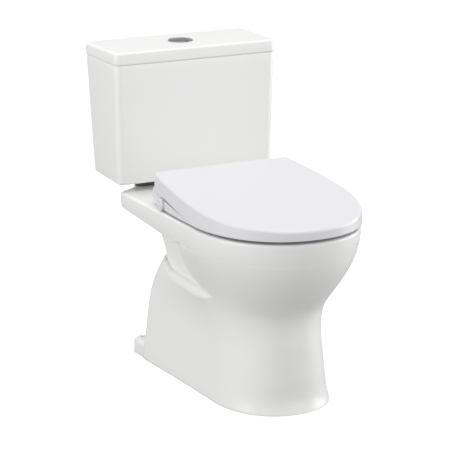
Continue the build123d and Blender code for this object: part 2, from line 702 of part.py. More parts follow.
def control_arm():
    """The low side panel that runs forward from the control knob under the lid's skirt."""
    outer = [(-181, -340), (-183, -380), (-186, -420), (-187.6, -470), (-188.4, -526)]
    inner = [(-179.5, -529), (-179, -408), (-168.2, -408), (-168.2, -340)]
    panel = plate(outer + inner, (410.5, 440))
    side = [(-340, 400), (-340, 437), (-352, 437), (-528, 417.5), (-530, 412), (-530, 400)]
    panel &= side_profile(side, (-200, -150))
    panel -= spindle((-200, -177.6), KNOB_Y, KNOB_Z, KNOB_R + 0.5)
    return panel - spindle((-200, -150), KNOB_Y, KNOB_Z, SHAFT_R + 0.3)


def control_knob():
    knob = spindle(KNOB_X, KNOB_Y, KNOB_Z, KNOB_R)
    knob = fillet(knob.faces().sort_by(Axis.X)[0].edges(), 2.0)
    along = (KNOB_Y - KNOB_R + 3, KNOB_Y + KNOB_R - 3)
    grip = block((KNOB_X[0] - 1.0, KNOB_X[0] + 2), along, (KNOB_Z - 1.6, KNOB_Z + 1.6))
    return knob + grip


def knob_shaft():
    return spindle((KNOB_X[1], -116), KNOB_Y, KNOB_Z, SHAFT_R)


def diverter_valve():
    body = spindle((-125.5, -84), KNOB_Y, KNOB_Z, 8.5)
    body -= spindle((-126, -112), KNOB_Y, KNOB_Z, SHAFT_R + RUNNING)
    for y in (KNOB_Y - 5, KNOB_Y + 5):
        body += spindle((-86, -74), y, KNOB_Z, 2.5)
    return body


def valve_feed_tube():
    """A soft tube from the side inlet, behind the nozzles, to the valve's rear."""
    points = [(BASE_HALF - 1, INLET_Y, INLET_Z), (-95, INLET_Y, INLET_Z), (-95, KNOB_Y + 8.5, INLET_Z)]
    path = FilletPolyline(*points, radius=18)
    section = Plane(origin=path @ 0, z_dir=path % 0) * Circle(TUBE_R)
    return sweep(section, path=path)


def supply_inlet():
    pipe = spindle((BASE_HALF, BASE_HALF + 18), INLET_Y, INLET_Z, INLET_R, 6)
    collar = spindle((BASE_HALF, BASE_HALF + 3), INLET_Y, INLET_Z, 12.5, 6)
    return pipe + collar


def inlet_strainer():
    return spindle((BASE_HALF + 11, BASE_HALF + 14), INLET_Y, INLET_Z, 5.9)


def nozzle_bar(x, radius, start, end, bore=0.0):
    """A bar along the nozzles' sloping line, start and end measured back from the retracted tip."""
    back = (0, cos(NOZZLE_SLOPE), sin(NOZZLE_SLOPE))
    origin = (x, NOZZLE_TIP[0] + back[1] * start, NOZZLE_TIP[1] + back[2] * start)
    plane = Plane(origin=origin, z_dir=back)
    ring = Circle(radius) - Circle(bore) if bore else Circle(radius)
    return extrude(plane * ring, end - start)


def wash_nozzle(x):
    nozzle = nozzle_bar(x, NOZZLE_R, 0, NOZZLE_LENGTH)
    nozzle = fillet(nozzle.faces().sort_by(Axis.Y)[0].edges(), 2.0)
    spray = post(x, NOZZLE_TIP[0] + 7, (NOZZLE_TIP[1] + 2, NOZZLE_TIP[1] + 12), 1.2)
    return nozzle - spray


def nozzle_holder():
    """Two guide sleeves side by side, carried by a cross plate inside the housing."""
    sleeves = None
    for x in (-NOZZLE_X, NOZZLE_X):
        sleeve = nozzle_bar(x, NOZZLE_R + 2.4, 40, 92)
        sleeves = sleeve if sleeves is None else sleeves + sleeve
    sleeves += nozzle_bar(0, 4, 70, 92) + block((-12, 12), (-366, -346), (419, 427))
    for x in (-NOZZLE_X, NOZZLE_X):
        sleeves -= nozzle_bar(x, NOZZLE_R + RUNNING, 30, NOZZLE_LENGTH + 6)
    return sleeves & block((-40, 40), (-398.5, -320), (418.2, 446))


def nozzle_guard():
    """The small flap that hangs in front of the nozzles, turned up for cleaning."""
    flap = block((-26, 26), (GUARD_Y - 1.6, GUARD_Y - 0.4), (420.5, GUARD_Z))
    return flap + spindle((-26, 26), GUARD_Y, GUARD_Z, 1.6)


def main():
    save("bowl", bowl())
    save("outlet_gasket", outlet_gasket())
    save("cistern_tank", cistern_tank())
    save("tank_lid", tank_lid())
    save("button_bezel", button_bezel())
    save("full_flush_button", flush_button(-1))
    save("half_flush_button", flush_button(1))
    save("full_flush_rod", push_rod(FULL_ROD_X))
    save("half_flush_rod", push_rod(HALF_ROD_X))
    save("full_flush_spring", button_spring(FULL_ROD_X))
    save("half_flush_spring", button_spring(HALF_ROD_X))
    save("flush_valve_base", flush_valve_base())
    save("flush_valve_washer", flush_valve_washer())
    save("flush_valve_locknut", flush_valve_locknut())
    save("flush_valve_cage", flush_valve_cage())
    save("flush_valve_stem", flush_valve_stem())
    save("flush_valve_seal", flush_valve_seal())
    save("tank_cushion", tank_cushion())
    save("tank_bolts", *tank_bolts())
    save("tank_bolt_washers", *tank_bolt_washers())
    save("tank_bolt_nuts", *tank_bolt_nuts())
    save("fill_valve_body", fill_valve_body())
    save("fill_valve_cap", fill_valve_cap())
    save("fill_valve_float", fill_valve_float())
    save("fill_valve_washer", fill_valve_washer())
    save("fill_valve_locknut", fill_valve_locknut())
    save("refill_tube", refill_tube())
    save("seat_mounting_plate", seat_mounting_plate())
    save("seat_fixing_bolts", *seat_fixing_bolts())
    save("seat_fixing_bushes", *seat_fixing_bushes())
    save("seat_fixing_nuts", *seat_fixing_nuts())
    save("bidet_base_cover", bidet_base_cover())
    save("bidet_base_bottom", bidet_base_bottom())
    save("hinge_pins", *hinge_pins())
    save("seat_ring", seat_ring())
    save("seat_buffers", *seat_buffers())
    save("seat_lid", seat_lid())
    save("lid_buffers", *lid_buffers())
    save("control_arm", control_arm())
    save("control_knob", control_knob())
    save("knob_shaft", knob_shaft())
    save("diverter_valve", diverter_valve())
    save("valve_feed_tube", valve_feed_tube())
    save("supply_inlet", supply_inlet())
    save("inlet_strainer", inlet_strainer())
    save("rear_wash_nozzle", wash_nozzle(-NOZZLE_X))
    save("front_wash_nozzle", wash_nozzle(NOZZLE_X))
    save("nozzle_holder", nozzle_holder())
    save("nozzle_guard", nozzle_guard())


main()
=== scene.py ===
# %% [markdown]
# # A two-piece toilet with a bidet seat
# The object is a floor-standing china bowl with a separate china tank close behind it,
# a loose tank lid with a split chrome button, and a plastic bidet seat with a lifting lid.
# The CAD model holds every real part at its real size. This script loads it as a fixed
# frame and dresses it: china and plastic shells are worked out again as smooth surfaces,
# and the small fittings keep their CAD shape and get a finish.

import json
from math import pi, radians

import bpy
import numpy as np
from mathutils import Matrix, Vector


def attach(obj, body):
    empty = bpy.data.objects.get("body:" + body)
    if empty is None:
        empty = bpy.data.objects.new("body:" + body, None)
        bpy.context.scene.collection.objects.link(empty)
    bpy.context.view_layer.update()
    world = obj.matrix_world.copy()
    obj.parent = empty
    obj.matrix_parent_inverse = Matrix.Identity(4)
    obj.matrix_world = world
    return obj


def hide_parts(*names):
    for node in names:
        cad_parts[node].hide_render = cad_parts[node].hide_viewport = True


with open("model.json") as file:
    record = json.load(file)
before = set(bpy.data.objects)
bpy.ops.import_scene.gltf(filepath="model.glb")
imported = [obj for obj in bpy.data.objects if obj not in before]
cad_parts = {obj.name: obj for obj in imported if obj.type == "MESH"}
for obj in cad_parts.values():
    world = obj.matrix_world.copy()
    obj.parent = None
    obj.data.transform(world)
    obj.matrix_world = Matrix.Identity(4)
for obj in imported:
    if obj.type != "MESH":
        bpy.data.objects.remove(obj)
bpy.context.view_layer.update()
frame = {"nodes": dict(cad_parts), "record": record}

# %% [markdown]
# ## From numbers to meshes
# Every shell below is a stack of rings: closed lines with the same number of points each.
# Joining neighbouring rings gives quads, and a fan to a middle point closes the two ends.
# Written as whole arrays this is quick, and each point has a meaning: how far round the
# shape, and how far up. The sizes are millimetres in the drawing's frame, where y = 0 is
# the back of the tank lid, so one helper moves them to the row frame in metres.

# %% Meshing helpers
DRAWING_TO_ROW = np.array([0.0, 377.5, 0.0])
MM = 0.001


def signed_volume(points, quads, fans):
    """One sixth of the sum over all triangles of a . (b x c); positive when faces point outwards."""
    a = np.vstack([quads[:, [0, 1, 2]], quads[:, [0, 2, 3]], fans])
    p = points[a]
    return np.einsum("ij,ij->i", p[:, 0], np.cross(p[:, 1], p[:, 2])).sum() / 6


def skin(rings, wrap=False):
    """A closed shell from rings (k, n, 3): quads between neighbours, and unless the last ring
    wraps to the first, a fan at each end to that ring's middle point."""
    k, n = rings.shape[:2]
    points = rings.reshape(-1, 3)
    i = np.arange(k if wrap else k - 1)[:, None] * n
    j = np.arange(n)[None, :]
    up = (i + n) % (k * n)
    side = (j + 1) % n
    quads = np.stack([i + j, i + side, up + side, up + j], axis=-1).reshape(-1, 4)
    fans = np.zeros((0, 3), int)
    if not wrap:
        middles = np.stack([rings[0].mean(0), rings[-1].mean(0)])
        points = np.vstack([points, middles])
        j, side = j[0], side[0]
        low = np.stack([side, j, np.full(n, k * n)], axis=-1)
        high = np.stack([(k - 1) * n + j, (k - 1) * n + side, np.full(n, k * n + 1)], axis=-1)
        fans = np.vstack([low, high])
    if signed_volume(points, quads, fans) < 0:
        quads, fans = quads[:, ::-1], fans[:, ::-1]
    return points, quads, fans


def build(name, shells, body, nodes, finish, sharp=50.0):
    """One piece from closed shells, in the row frame; it replaces CAD nodes and rides on a body."""
    faces, points, start = [], [], 0
    for shell_points, quads, fans in shells:
        points.append(shell_points)
        faces += (quads + start).tolist() + (fans + start).tolist()
        start += len(shell_points)
    points = (np.vstack(points) + DRAWING_TO_ROW) * MM
    mesh = bpy.data.meshes.new(name)
    mesh.from_pydata(points.tolist(), [], faces)
    mesh.polygons.foreach_set("use_smooth", np.ones(len(faces), bool))
    mesh.set_sharp_from_angle(angle=radians(sharp))
    mesh.validate()
    piece = bpy.data.objects.new(name, mesh)
    bpy.context.scene.collection.objects.link(piece)
    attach(piece, body)
    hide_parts(*nodes)
    piece.data.materials.append(FINISHES[finish])
    print(f"{name}: {len(points)} points, {len(faces)} faces")
    return piece


# %% [markdown]
# ## Lines to carry the shapes
# The outlines are measured at a few heights. A natural cubic spline gives every height in
# between without a crease, and lines are divided again by length, so that the points stay
# evenly spread whatever formula drew the line.

# %% Line helpers
def smooth(t):
    """0 below 0, 1 above 1, and 3t^2 - 2t^3 between."""
    t = np.clip(t, 0, 1)
    return t * t * (3 - 2 * t)


def spline(table, at):
    """A natural cubic spline through rows (key, values...), for all the wanted keys at once."""
    table = np.array(table, float)
    knots, values = table[:, 0], table[:, 1:]
    at = np.clip(np.atleast_1d(np.asarray(at, float)), knots[0], knots[-1])
    h, n = np.diff(knots), len(knots)
    matrix, right = np.eye(n), np.zeros_like(values)
    k = np.arange(1, n - 1)
    slope = np.diff(values, axis=0) / h[:, None]
    matrix[k, k - 1], matrix[k, k], matrix[k, k + 1] = h[:-1], 2 * (h[:-1] + h[1:]), h[1:]
    right[1:-1] = 6 * np.diff(slope, axis=0)
    bend = np.linalg.solve(matrix, right)
    k = np.clip(np.searchsorted(knots, at, side="right") - 1, 0, n - 2)
    left, to_go, step = (at - knots[k])[:, None], (knots[k + 1] - at)[:, None], h[k][:, None]
    cubic = (bend[k] * to_go ** 3 + bend[k + 1] * left ** 3) / (6 * step)
    return cubic + (values[k] / step - bend[k] * step / 6) * to_go + \
        (values[k + 1] / step - bend[k + 1] * step / 6) * left


def divide(line, shares):
    """The points of a line at the given shares of its length."""
    steps = np.linalg.norm(np.diff(line, axis=0), axis=1)
    along = np.concatenate([[0], np.cumsum(steps)])
    along = along / max(along[-1], 1e-9)
    return np.stack([np.interp(shares, along, line[:, c]) for c in range(line.shape[1])], axis=-1)


def round_path(points, radii):
    """Straight runs whose inner corners are cut back and joined by a parabola."""
    points = np.array(points, float)
    out = [points[:1]]
    for before, corner, after, r in zip(points, points[1:], points[2:], radii):
        a, b = before - corner, after - corner
        la, lb = np.linalg.norm(a), np.linalg.norm(b)
        half_turn = (pi - np.arccos(np.clip(a @ b / la / lb, -1, 1))) / 2
        cut = min(r * np.tan(half_turn), 0.49 * la, 0.49 * lb)
        t = np.linspace(0, 1, 12)[:, None]
        start, end = corner + a / la * cut, corner + b / lb * cut
        out.append((1 - t) ** 2 * start + 2 * t * (1 - t) * corner + t ** 2 * end)
    out.append(points[-1:])
    return np.vstack(out)


def whole(half):
    """A closed ring from its right half, which runs from the front's middle to the rear's."""
    return np.vstack([half, half[-2:0:-1] * np.array([-1.0, 1.0])])


def inset(ring, distance):
    """A ring moved inwards, square to itself, by one distance or one for each point."""
    tangent = np.roll(ring, -1, axis=0) - np.roll(ring, 1, axis=0)
    tangent /= np.linalg.norm(tangent, axis=1)[:, None] + 1e-12
    inwards = np.stack([-tangent[:, 1], tangent[:, 0]], axis=-1)
    return ring + inwards * np.broadcast_to(distance, len(ring))[:, None]


def at_height(ring, z):
    """A flat ring lifted to one height or to one for each point."""
    return np.column_stack([ring, np.broadcast_to(z, len(ring))])


def quarter(steps):
    """Pairs (1 - cos, sin) over a quarter turn, both from 0 to 1."""
    a = np.linspace(0, pi / 2, steps + 1)
    return list(zip(1 - np.cos(a), np.sin(a)))


# %% [markdown]
# ## Colour and finish
# Colours are written as sRGB hex, the way a paint chart gives them, and one function turns
# them to the linear values that the shader works with.

# %% Material helpers
def linear(hex_colour):
    """sRGB hex to linear RGBA: c / 12.92 below 0.04045, else ((c + 0.055) / 1.055) ^ 2.4."""
    c = np.array([int(hex_colour[i:i + 2], 16) for i in (1, 3, 5)]) / 255
    rgb = np.where(c <= 0.04045, c / 12.92, ((c + 0.055) / 1.055) ** 2.4)
    return (*rgb.tolist(), 1.0)


def add_node(material, kind, settings=(), links=()):
    """Adds a shader node; settings are (input, value) pairs and links are (input, socket) pairs."""
    node = material.node_tree.nodes.new(kind)
    for key, value in settings:
        node.inputs[key].default_value = value
    for key, socket in links:
        material.node_tree.links.new(socket, node.inputs[key])
    return node


def finish(name, colour, settings, grain_mm=0.0, depth_mm=0.0):
    """A principled material; grain_mm and depth_mm add a fine uneven surface in Object coordinates."""
    material = bpy.data.materials.new(name)
    material.use_nodes = True
    shader = material.node_tree.nodes["Principled BSDF"]
    shader.inputs["Base Color"].default_value = linear(colour)
    for key, value in settings.items():
        shader.inputs[key].default_value = value
    if grain_mm:
        place = add_node(material, "ShaderNodeTexCoord")
        noise = add_node(material, "ShaderNodeTexNoise",
                         [("Scale", 1000.0 / grain_mm), ("Detail", 2.0)],
                         [("Vector", place.outputs["Object"])])
        bump = add_node(material, "ShaderNodeBump", [("Strength", 1.0), ("Distance", depth_mm * MM)],
                        [("Height", noise.outputs["Fac"])])
        material.node_tree.links.new(bump.outputs["Normal"], shader.inputs["Normal"])
    return material


# %% [markdown]
# The china is vitreous: fired clay under a clear glass glaze, so it is white, hard-edged in
# its reflections and very slightly wavy where the glaze ran. The seat is moulded
# polypropylene with a satin gloss. The fittings in the tank are matt plastics, the gaskets
# are rubber, and the button is plated with bright chromium.

# %% Materials
FINISHES = {
    # Glass glaze over white clay: IOR 1.5, a sharp sheen; the wave is about 40 mm long and 0.03 mm deep.
    "vitreous_china": finish("glazed_vitreous_china", "#F3F3F2",
                             {"Roughness": 0.27, "IOR": 1.5, "Coat Weight": 0.1, "Coat Roughness": 0.1},
                             grain_mm=40.0, depth_mm=0.03),
    # Moulded polypropylene, IOR 1.49: softer sheen than the china, a touch cooler.
    "seat_plastic": finish("moulded_polypropylene", "#E2E2E4", {"Roughness": 0.28, "IOR": 1.49}),
    "nozzle_plastic": finish("polished_acetal", "#E6E8EB", {"Roughness": 0.2, "IOR": 1.48}),
    # Matt ABS: the moulding tool's fine spark texture, 0.6 mm grain, breaks up the highlight.
    "white_abs": finish("matt_white_abs", "#DEDEDA", {"Roughness": 0.45, "IOR": 1.53}, 0.6, 0.01),
    "grey_abs": finish("matt_grey_abs", "#8E9094", {"Roughness": 0.45, "IOR": 1.53}, 0.6, 0.01),
    "blue_abs": finish("matt_blue_abs", "#4A74B0", {"Roughness": 0.4, "IOR": 1.53}, 0.6, 0.01),
    # Rubbers: no clear highlight, a fine grain. The black rubber is partly real rubber and partly painted
    # shade: its dark grey, lighter than black rubber, stands in for the shadow in the gap under the tank, where
    # the tank cushion sits.
    "black_rubber": finish("epdm_rubber_and_painted_gap_shade", "#5C5C5E", {"Roughness": 0.75, "IOR": 1.52}, 1.0, 0.02),
    "grey_rubber": finish("grey_soft_rubber", "#B8B9B9", {"Roughness": 0.7, "IOR": 1.52}, 1.0, 0.02),
    "red_silicone": finish("red_silicone_rubber", "#A8382F", {"Roughness": 0.5, "IOR": 1.41}),
    "clear_tube": finish("soft_clear_pvc", "#E4E9EA",
                         {"Roughness": 0.15, "IOR": 1.52, "Transmission Weight": 0.5}),
    # Metals keep the default IOR. The chrome's colour is darker than bright chromium: it is a painted
    # reflection, standing in for the dark band that the dome's top reflects.
    "polished_chrome": finish("chromium_plate_darkened_as_painted_reflection", "#8A8C90", {"Metallic": 1.0, "Roughness": 0.05}),
    "spring_steel": finish("drawn_spring_steel", "#A9AAAC", {"Metallic": 1.0, "Roughness": 0.3}),
    "stainless_steel": finish("turned_stainless_steel", "#B9BABB", {"Metallic": 1.0, "Roughness": 0.25}),
    "brass": finish("turned_brass", "#C9A45C", {"Metallic": 1.0, "Roughness": 0.28}),
}
print(len(FINISHES), "finishes")

# %% Dress every CAD node with its slot's finish
for part in frame["record"]["subparts"]:
    mesh = frame["nodes"][part["node"]].data
    mesh.materials.clear()
    mesh.materials.append(FINISHES[part["material_slot"]])

# %% [markdown]
# ## The bowl
# A china bowl is cast in a plaster mould and every edge on it is soft. Its outside is one
# skin: up the skirt from the floor, over a low shelf into the recess behind the bowl,
# along the underside of the deck, up the deck's side, across the rim, down the well and
# into the trap. In front, the same skin runs straight up the round belly. Rings that follow
# that road round the whole body give both with one grid: behind the recess edge a ring's
# points move in and out, and in front of it they just climb.

# %% Outlines of the bowl
# height, half-width, y of the widest line, y of the tip
BELLY = [(0, 132.4, -514, -678), (12, 131, -512, -671), (60, 125, -506, -664), (110, 121, -500, -660),
         (150, 119, -495, -656), (190, 121, -496, -651), (225, 128, -498, -660), (243, 134, -499, -674),
         (260, 141, -500, -690), (300, 159, -508, -722), (340, 176, -515, -743), (370, 184.5, -521, -750),
         (395, 187, -526, -752), (408, 187, -528, -752)]
# height, half-width and y of the skirt's rear edge
SKIRT_REAR = [(0, 140, -150), (12, 139, -150), (60, 134, -153), (110, 131, -160), (150, 129.5, -170),
              (190, 128, -190), (225, 127, -219), (243, 126, -236)]
# height, and y of the edge where the belly turns in to the recess
RECESS_EDGE = [(243, -524), (245, -520), (254, -487), (268, -459), (292, -440), (323, -436), (352, -436)]
NOSE_POWER = 2.19
SKIRT_CORNER = 22.0
SHELF_Z = 243.0
HUMP_RISE = 27.0
DECK_LOW_Z, DECK_RISE, DECK_RIM_FALL = 352.0, 23.0, 4.5
RIM_Z = 408.0
PILLAR_HALF, PILLAR_REAR_Y, PILLAR_CORNER = 113.0, -235.0, 8.0
# how far the pillar leans forward, and the ring heights between which it does
PILLAR_LEAN, LEAN_FROM_Z, LEAN_HEIGHT = 36.0, 246.0, 80.0
RECESS_END_Y = -340.0
DECK_HALF, DECK_SIDE_END_Y = 187.0, -150.0
DECK_TAIL = [(112.0, -104.0), (100.0, -38.0)]

# shares of each stretch's length at which a ring has points
TO_EDGE = np.concatenate([np.linspace(0, 0.975, 54), [0.984, 0.992, 1.0]])
TO_PILLAR = np.concatenate([[0.008, 0.018, 0.032], np.linspace(0.05, 1, 24)])
ALONG_PILLAR = np.linspace(0, 1, 11)[1:]
ROUND_CORNER = np.linspace(0, 1, 31)[1:]
ALONG_REAR = np.linspace(0, 1, 10)[1:]
STATIONS = [len(s) for s in (TO_EDGE, TO_PILLAR, ALONG_PILLAR, ROUND_CORNER, ALONG_REAR)]


def nose(half, wide_y, tip_y, power, count=240):
    """Half a rounded nose: x = w cos^(2/p) a, y = wide + (tip - wide) sin^(2/p) a, a from 90 to 0 degrees."""
    a = np.linspace(pi / 2, 0, count)
    x = half * np.maximum(np.cos(a), 0) ** (2 / power)
    return np.column_stack([x, wide_y + (tip_y - wide_y) * np.maximum(np.sin(a), 0) ** (2 / power)])


def flank(half, wide_y, rear_half, end_y, count=120):
    """The side behind the nose: x = w + (rear - w) t^2, so it leaves the nose without a crease."""
    t = np.linspace(0, 1, count)
    return np.column_stack([half + (rear_half - half) * t ** 2, wide_y + (end_y - wide_y) * t])


def corner_arc(x, y, r, count=24):
    """A quarter round from (x, y - r) to (x - r, y)."""
    a = np.linspace(0, pi / 2, count)
    return np.column_stack([x - r + r * np.cos(a), y - r + r * np.sin(a)])


def split_at_y(line, y):
    """Cuts a line that climbs in y into the part before y and the part after it."""
    cut = np.array([[np.interp(y, line[:, 1], line[:, 0]), y]])
    return np.vstack([line[line[:, 1] < y - 1e-6], cut]), np.vstack([cut, line[line[:, 1] > y + 1e-6]])


def ring_of(stretches):
    """A closed ring from the five stretches of its right half."""
    shares = (TO_EDGE, TO_PILLAR, ALONG_PILLAR, ROUND_CORNER, ALONG_REAR)
    return whole(np.vstack([divide(line, s) for line, s in zip(stretches, shares)]))


def edge_y(z):
    return float(spline(RECESS_EDGE, z)[0, 0])


def skirt_ring(z):
    """The lower body at a height: nose, side, rounded rear corner, flat rear."""
    half, wide_y, tip_y = spline(BELLY, z)[0]
    rear_half, rear_y = spline(SKIRT_REAR, z)[0]
    side = np.vstack([nose(half, wide_y, tip_y, NOSE_POWER),
                      flank(half, wide_y, rear_half, rear_y - SKIRT_CORNER)[1:]])
    front, rest = split_at_y(side, edge_y(z))
    middle, back = split_at_y(rest, RECESS_END_Y)
    corner = corner_arc(rear_half, rear_y, SKIRT_CORNER)
    return ring_of([front, middle, back, corner, np.array([corner[-1], [0, rear_y]])])


def deck_ring(z):
    """The bowl and the deck behind it at a height; the side leans in a little towards its foot."""
    half, wide_y, tip_y = spline(BELLY, z)[0]
    rear_half = DECK_HALF - 0.3 * (DECK_HALF - half)
    side = np.vstack([nose(half, wide_y, tip_y, NOSE_POWER),
                      flank(half, wide_y, rear_half, DECK_SIDE_END_Y - 24)[1:]])
    front, rest = split_at_y(side, edge_y(z))
    middle, back = split_at_y(rest, RECESS_END_Y)
    tail = round_path([back[-1], (rear_half, DECK_SIDE_END_Y), *DECK_TAIL, (60.0, DECK_TAIL[-1][1])],
                      (14, 14, 10))
    return ring_of([front, middle, back, tail, np.array([tail[-1], [0, DECK_TAIL[-1][1]]])])


def recess_ring(z):
    """The belly as far as the recess edge, then a hollow bend in to the pillar, then the pillar.
    The bend is x = xp + (xe - xp)(1 - sin^q a), y = ye + (yp - ye)(1 - cos^q a)."""
    half, wide_y, tip_y = spline(BELLY, z)[0]
    rear_half = DECK_HALF - 0.3 * (DECK_HALF - half)
    side = np.vstack([nose(half, wide_y, tip_y, NOSE_POWER), flank(half, wide_y, rear_half, -300)[1:]])
    front, _ = split_at_y(side, edge_y(z))
    start = front[-1]
    squareness = 1.6 + 1.6 * smooth((z - SHELF_Z) / 60)
    a = np.linspace(0, pi / 2, 120)
    q = 2 / squareness
    bend = np.column_stack([PILLAR_HALF + (start[0] - PILLAR_HALF) * (1 - np.sin(a) ** q),
                            start[1] + (RECESS_END_Y - start[1]) * (1 - np.maximum(np.cos(a), 0) ** q)])
    rear_y = PILLAR_REAR_Y + PILLAR_LEAN * smooth((z - LEAN_FROM_Z) / LEAN_HEIGHT)
    corner = corner_arc(PILLAR_HALF, rear_y, PILLAR_CORNER)
    straight = np.array([bend[-1], corner[0]])
    return ring_of([front, bend, straight, corner, np.array([corner[-1], [0, rear_y]])])


# %% [markdown]
# The heights need the same care. The shelf rises at its rear end, the deck's underside
# falls towards the bowl, and both have to shrink to nothing at the recess edge, where the
# front's rings climb on without a step. A weight that is 0 at that edge and 1 a little way
# behind it does this for every rounding.

# %% Heights along the bowl's rings
half_places = sum(STATIONS)
place = np.arange(half_places)
behind_half = smooth((place - STATIONS[0] + 1) / 9.0)
behind = whole(np.column_stack([place, behind_half]))[:, 1]


def deck_underside(ring):
    """Height of the deck's underside: it falls from the rear to the recess edge and towards its rim."""
    low_y, high_y = edge_y(DECK_LOW_Z), DECK_SIDE_END_Y
    fall = DECK_RIM_FALL * smooth((np.abs(ring[:, 0]) - 115) / 50)
    return DECK_LOW_Z + behind * (DECK_RISE * np.clip((ring[:, 1] - low_y) / (high_y - low_y), 0, 1) - fall)


def shelf_height(y):
    """The shelf is level, then rises at the rear to a low hump."""
    return SHELF_Z + HUMP_RISE * smooth((y + 296) / 58)


def settled(ring, z):
    """A ring lifted to its heights; in front of the recess edge it keeps to the belly's outline there."""
    belly = skirt_ring(z[0])
    return at_height(ring + (1 - behind)[:, None] * (belly - ring), z)


# height, half-width, y of the widest line, front y, rear y of the well
WELL = [(132, 36, -484, -518, -450), (160, 46, -490, -534, -446), (200, 66, -504, -570, -436),
        (250, 92, -524, -622, -424), (300, 120, -538, -670, -414), (350, 141, -545, -702, -408),
        (395, 147, -545, -713, -405), (409, 146, -545, -712, -405)]
WELL_POWER = 2.1


def well_ring(z, bearing):
    """An egg-shaped ring, its points at the given bearings round the well's own middle."""
    half, wide_y, front_y, rear_y = spline(WELL, z)[0]
    front = nose(half, 0, front_y - wide_y, WELL_POWER)
    rear = nose(half, 0, rear_y - wide_y, WELL_POWER)[::-1]
    line = np.vstack([front, rear[1:]])
    angle = np.unwrap(np.arctan2(line[:, 0], -line[:, 1]))
    x = np.interp(bearing, angle, line[:, 0])
    y = np.interp(bearing, angle, line[:, 1])
    return whole(np.column_stack([x, y + wide_y]))


# %% Rings of the bowl, from the hollow foot over the rim to the trap
CHINA = 12.0
CEILING_Z = 62.0
EDGE_R = 6.0
rings = []

foot_hollow = inset(skirt_ring(CEILING_Z), CHINA)
middle = np.array([0.0, -400.0])
for share in (0.2, 0.5, 0.8, 0.94):
    rings.append(at_height(middle + (foot_hollow - middle) * share, CEILING_Z))
for out, down in quarter(4):
    rings.append(at_height(middle + (foot_hollow - middle) * (0.94 + 0.06 * down), CEILING_Z - 8 * out))
for z in (40, 24, 12, 4):
    rings.append(at_height(inset(skirt_ring(z), CHINA), z))
rings.append(at_height(inset(skirt_ring(0), CHINA - 2), 0))
rings.append(at_height(inset(skirt_ring(0), 3.0), 0))
rings.append(at_height(inset(skirt_ring(0), 1.2), 0.5))

skirt_top = skirt_ring(SHELF_Z)
shelf_inner = recess_ring(SHELF_Z + 2)
shelf_z = shelf_height(skirt_top[:, 1])
shelf_width = np.linalg.norm(skirt_top - shelf_inner, axis=1)
shelf_round = np.minimum(18.0, 1.1 * shelf_width) * behind * (1 - 0.65 * smooth((skirt_top[:, 1] + 300) / 60))
skirt_share = (shelf_z - shelf_round) / SHELF_Z
for z in np.concatenate([[2.5, 6, 12], np.linspace(20, 236, 30), [240, SHELF_Z]]):
    rings.append(at_height(skirt_ring(z), z * ((1 - behind) + behind * skirt_share)))
top = (1 - behind) * SHELF_Z + behind * (shelf_z - shelf_round)
for step, (out, up) in enumerate(quarter(8)[1:]):
    ring = skirt_top + (shelf_inner - skirt_top) * (0.86 * out)
    rings.append(settled(ring, top + shelf_round * up + (1 - behind) * 0.1 * step))
CREASE = 4.0
for step, (out, up) in enumerate(quarter(4)[1:]):
    ring = skirt_top + (shelf_inner - skirt_top) * (0.86 + 0.14 * up)
    rings.append(settled(ring, shelf_z + behind * CREASE * out + (1 - behind) * (0.7 + 0.3 * step)))

wall_low = (1 - behind) * (SHELF_Z + 2) + behind * (shelf_z + CREASE)
FILLET = 12.0
for z in np.concatenate([[246.5, 248.5, 251, 254, 258, 263], np.linspace(269, DECK_LOW_Z, 20)]):
    ring = recess_ring(z)
    high = (1 - behind) * DECK_LOW_Z + behind * (deck_underside(ring) - FILLET)
    share = (z - SHELF_Z - 2) / (DECK_LOW_Z - SHELF_Z - 2)
    rings.append(at_height(ring, wall_low + (high - wall_low) * share))

inner = recess_ring(DECK_LOW_Z)
lip = 4.0 * behind
outer = inset(deck_ring(DECK_LOW_Z), lip)
reach = np.linalg.norm(outer - inner, axis=1)
fillet_share = np.minimum(FILLET / np.maximum(reach, 1e-6), 0.4)[:, None]
for step, (out, up) in enumerate(quarter(5)[1:]):
    ring = inner + (outer - inner) * fillet_share * out
    under = deck_underside(ring)
    z = under - behind * FILLET * (1 - up)
    rings.append(settled(ring, z + (1 - behind) * 0.1 * (step + 1)))
for step, share in enumerate((0.25, 0.5, 0.75, 1.0)):
    ring = inner + (outer - inner) * (fillet_share + (1 - fillet_share) * share)
    rings.append(settled(ring, deck_underside(ring) + (1 - behind) * (0.6 + 0.1 * step)))
deck_low = deck_ring(DECK_LOW_Z)
under = deck_underside(deck_low)
for step, (out, up) in enumerate(quarter(4)[1:]):
    ring = inset(deck_low, lip * (1 - up))
    rings.append(settled(ring, under + lip * out + (1 - behind) * (1.0 + 0.1 * step)))

side_low = under + lip + (1 - behind) * 1.4
side_high = RIM_Z - EDGE_R
for z in np.linspace(DECK_LOW_Z, side_high, 16)[1:]:
    share = (z - DECK_LOW_Z) / (side_high - DECK_LOW_Z)
    rings.append(at_height(deck_ring(z), side_low + (side_high - side_low) * share))
rim = deck_ring(RIM_Z)
for out, up in quarter(7)[1:]:
    rings.append(at_height(inset(rim, EDGE_R * out), side_high + EDGE_R * up))
rim = inset(rim, EDGE_R)
front_half = rim[:half_places]
bearing = np.arctan2(front_half[:, 0], -(front_half[:, 1] + 545.0))
bearing[0], bearing[-1] = 0.0, pi
LIP_R = 9.0
mouth = inset(well_ring(RIM_Z, bearing), -LIP_R)
for share in (0.15, 0.4, 0.7, 0.9, 1.0):
    rings.append(at_height(rim + (mouth - rim) * share, RIM_Z))
for out, up in quarter(7)[1:]:
    rings.append(at_height(inset(mouth, LIP_R * up), RIM_Z - LIP_R * out))
for z in np.linspace(RIM_Z - LIP_R - 4, 140, 34):
    rings.append(at_height(well_ring(z, bearing), z))

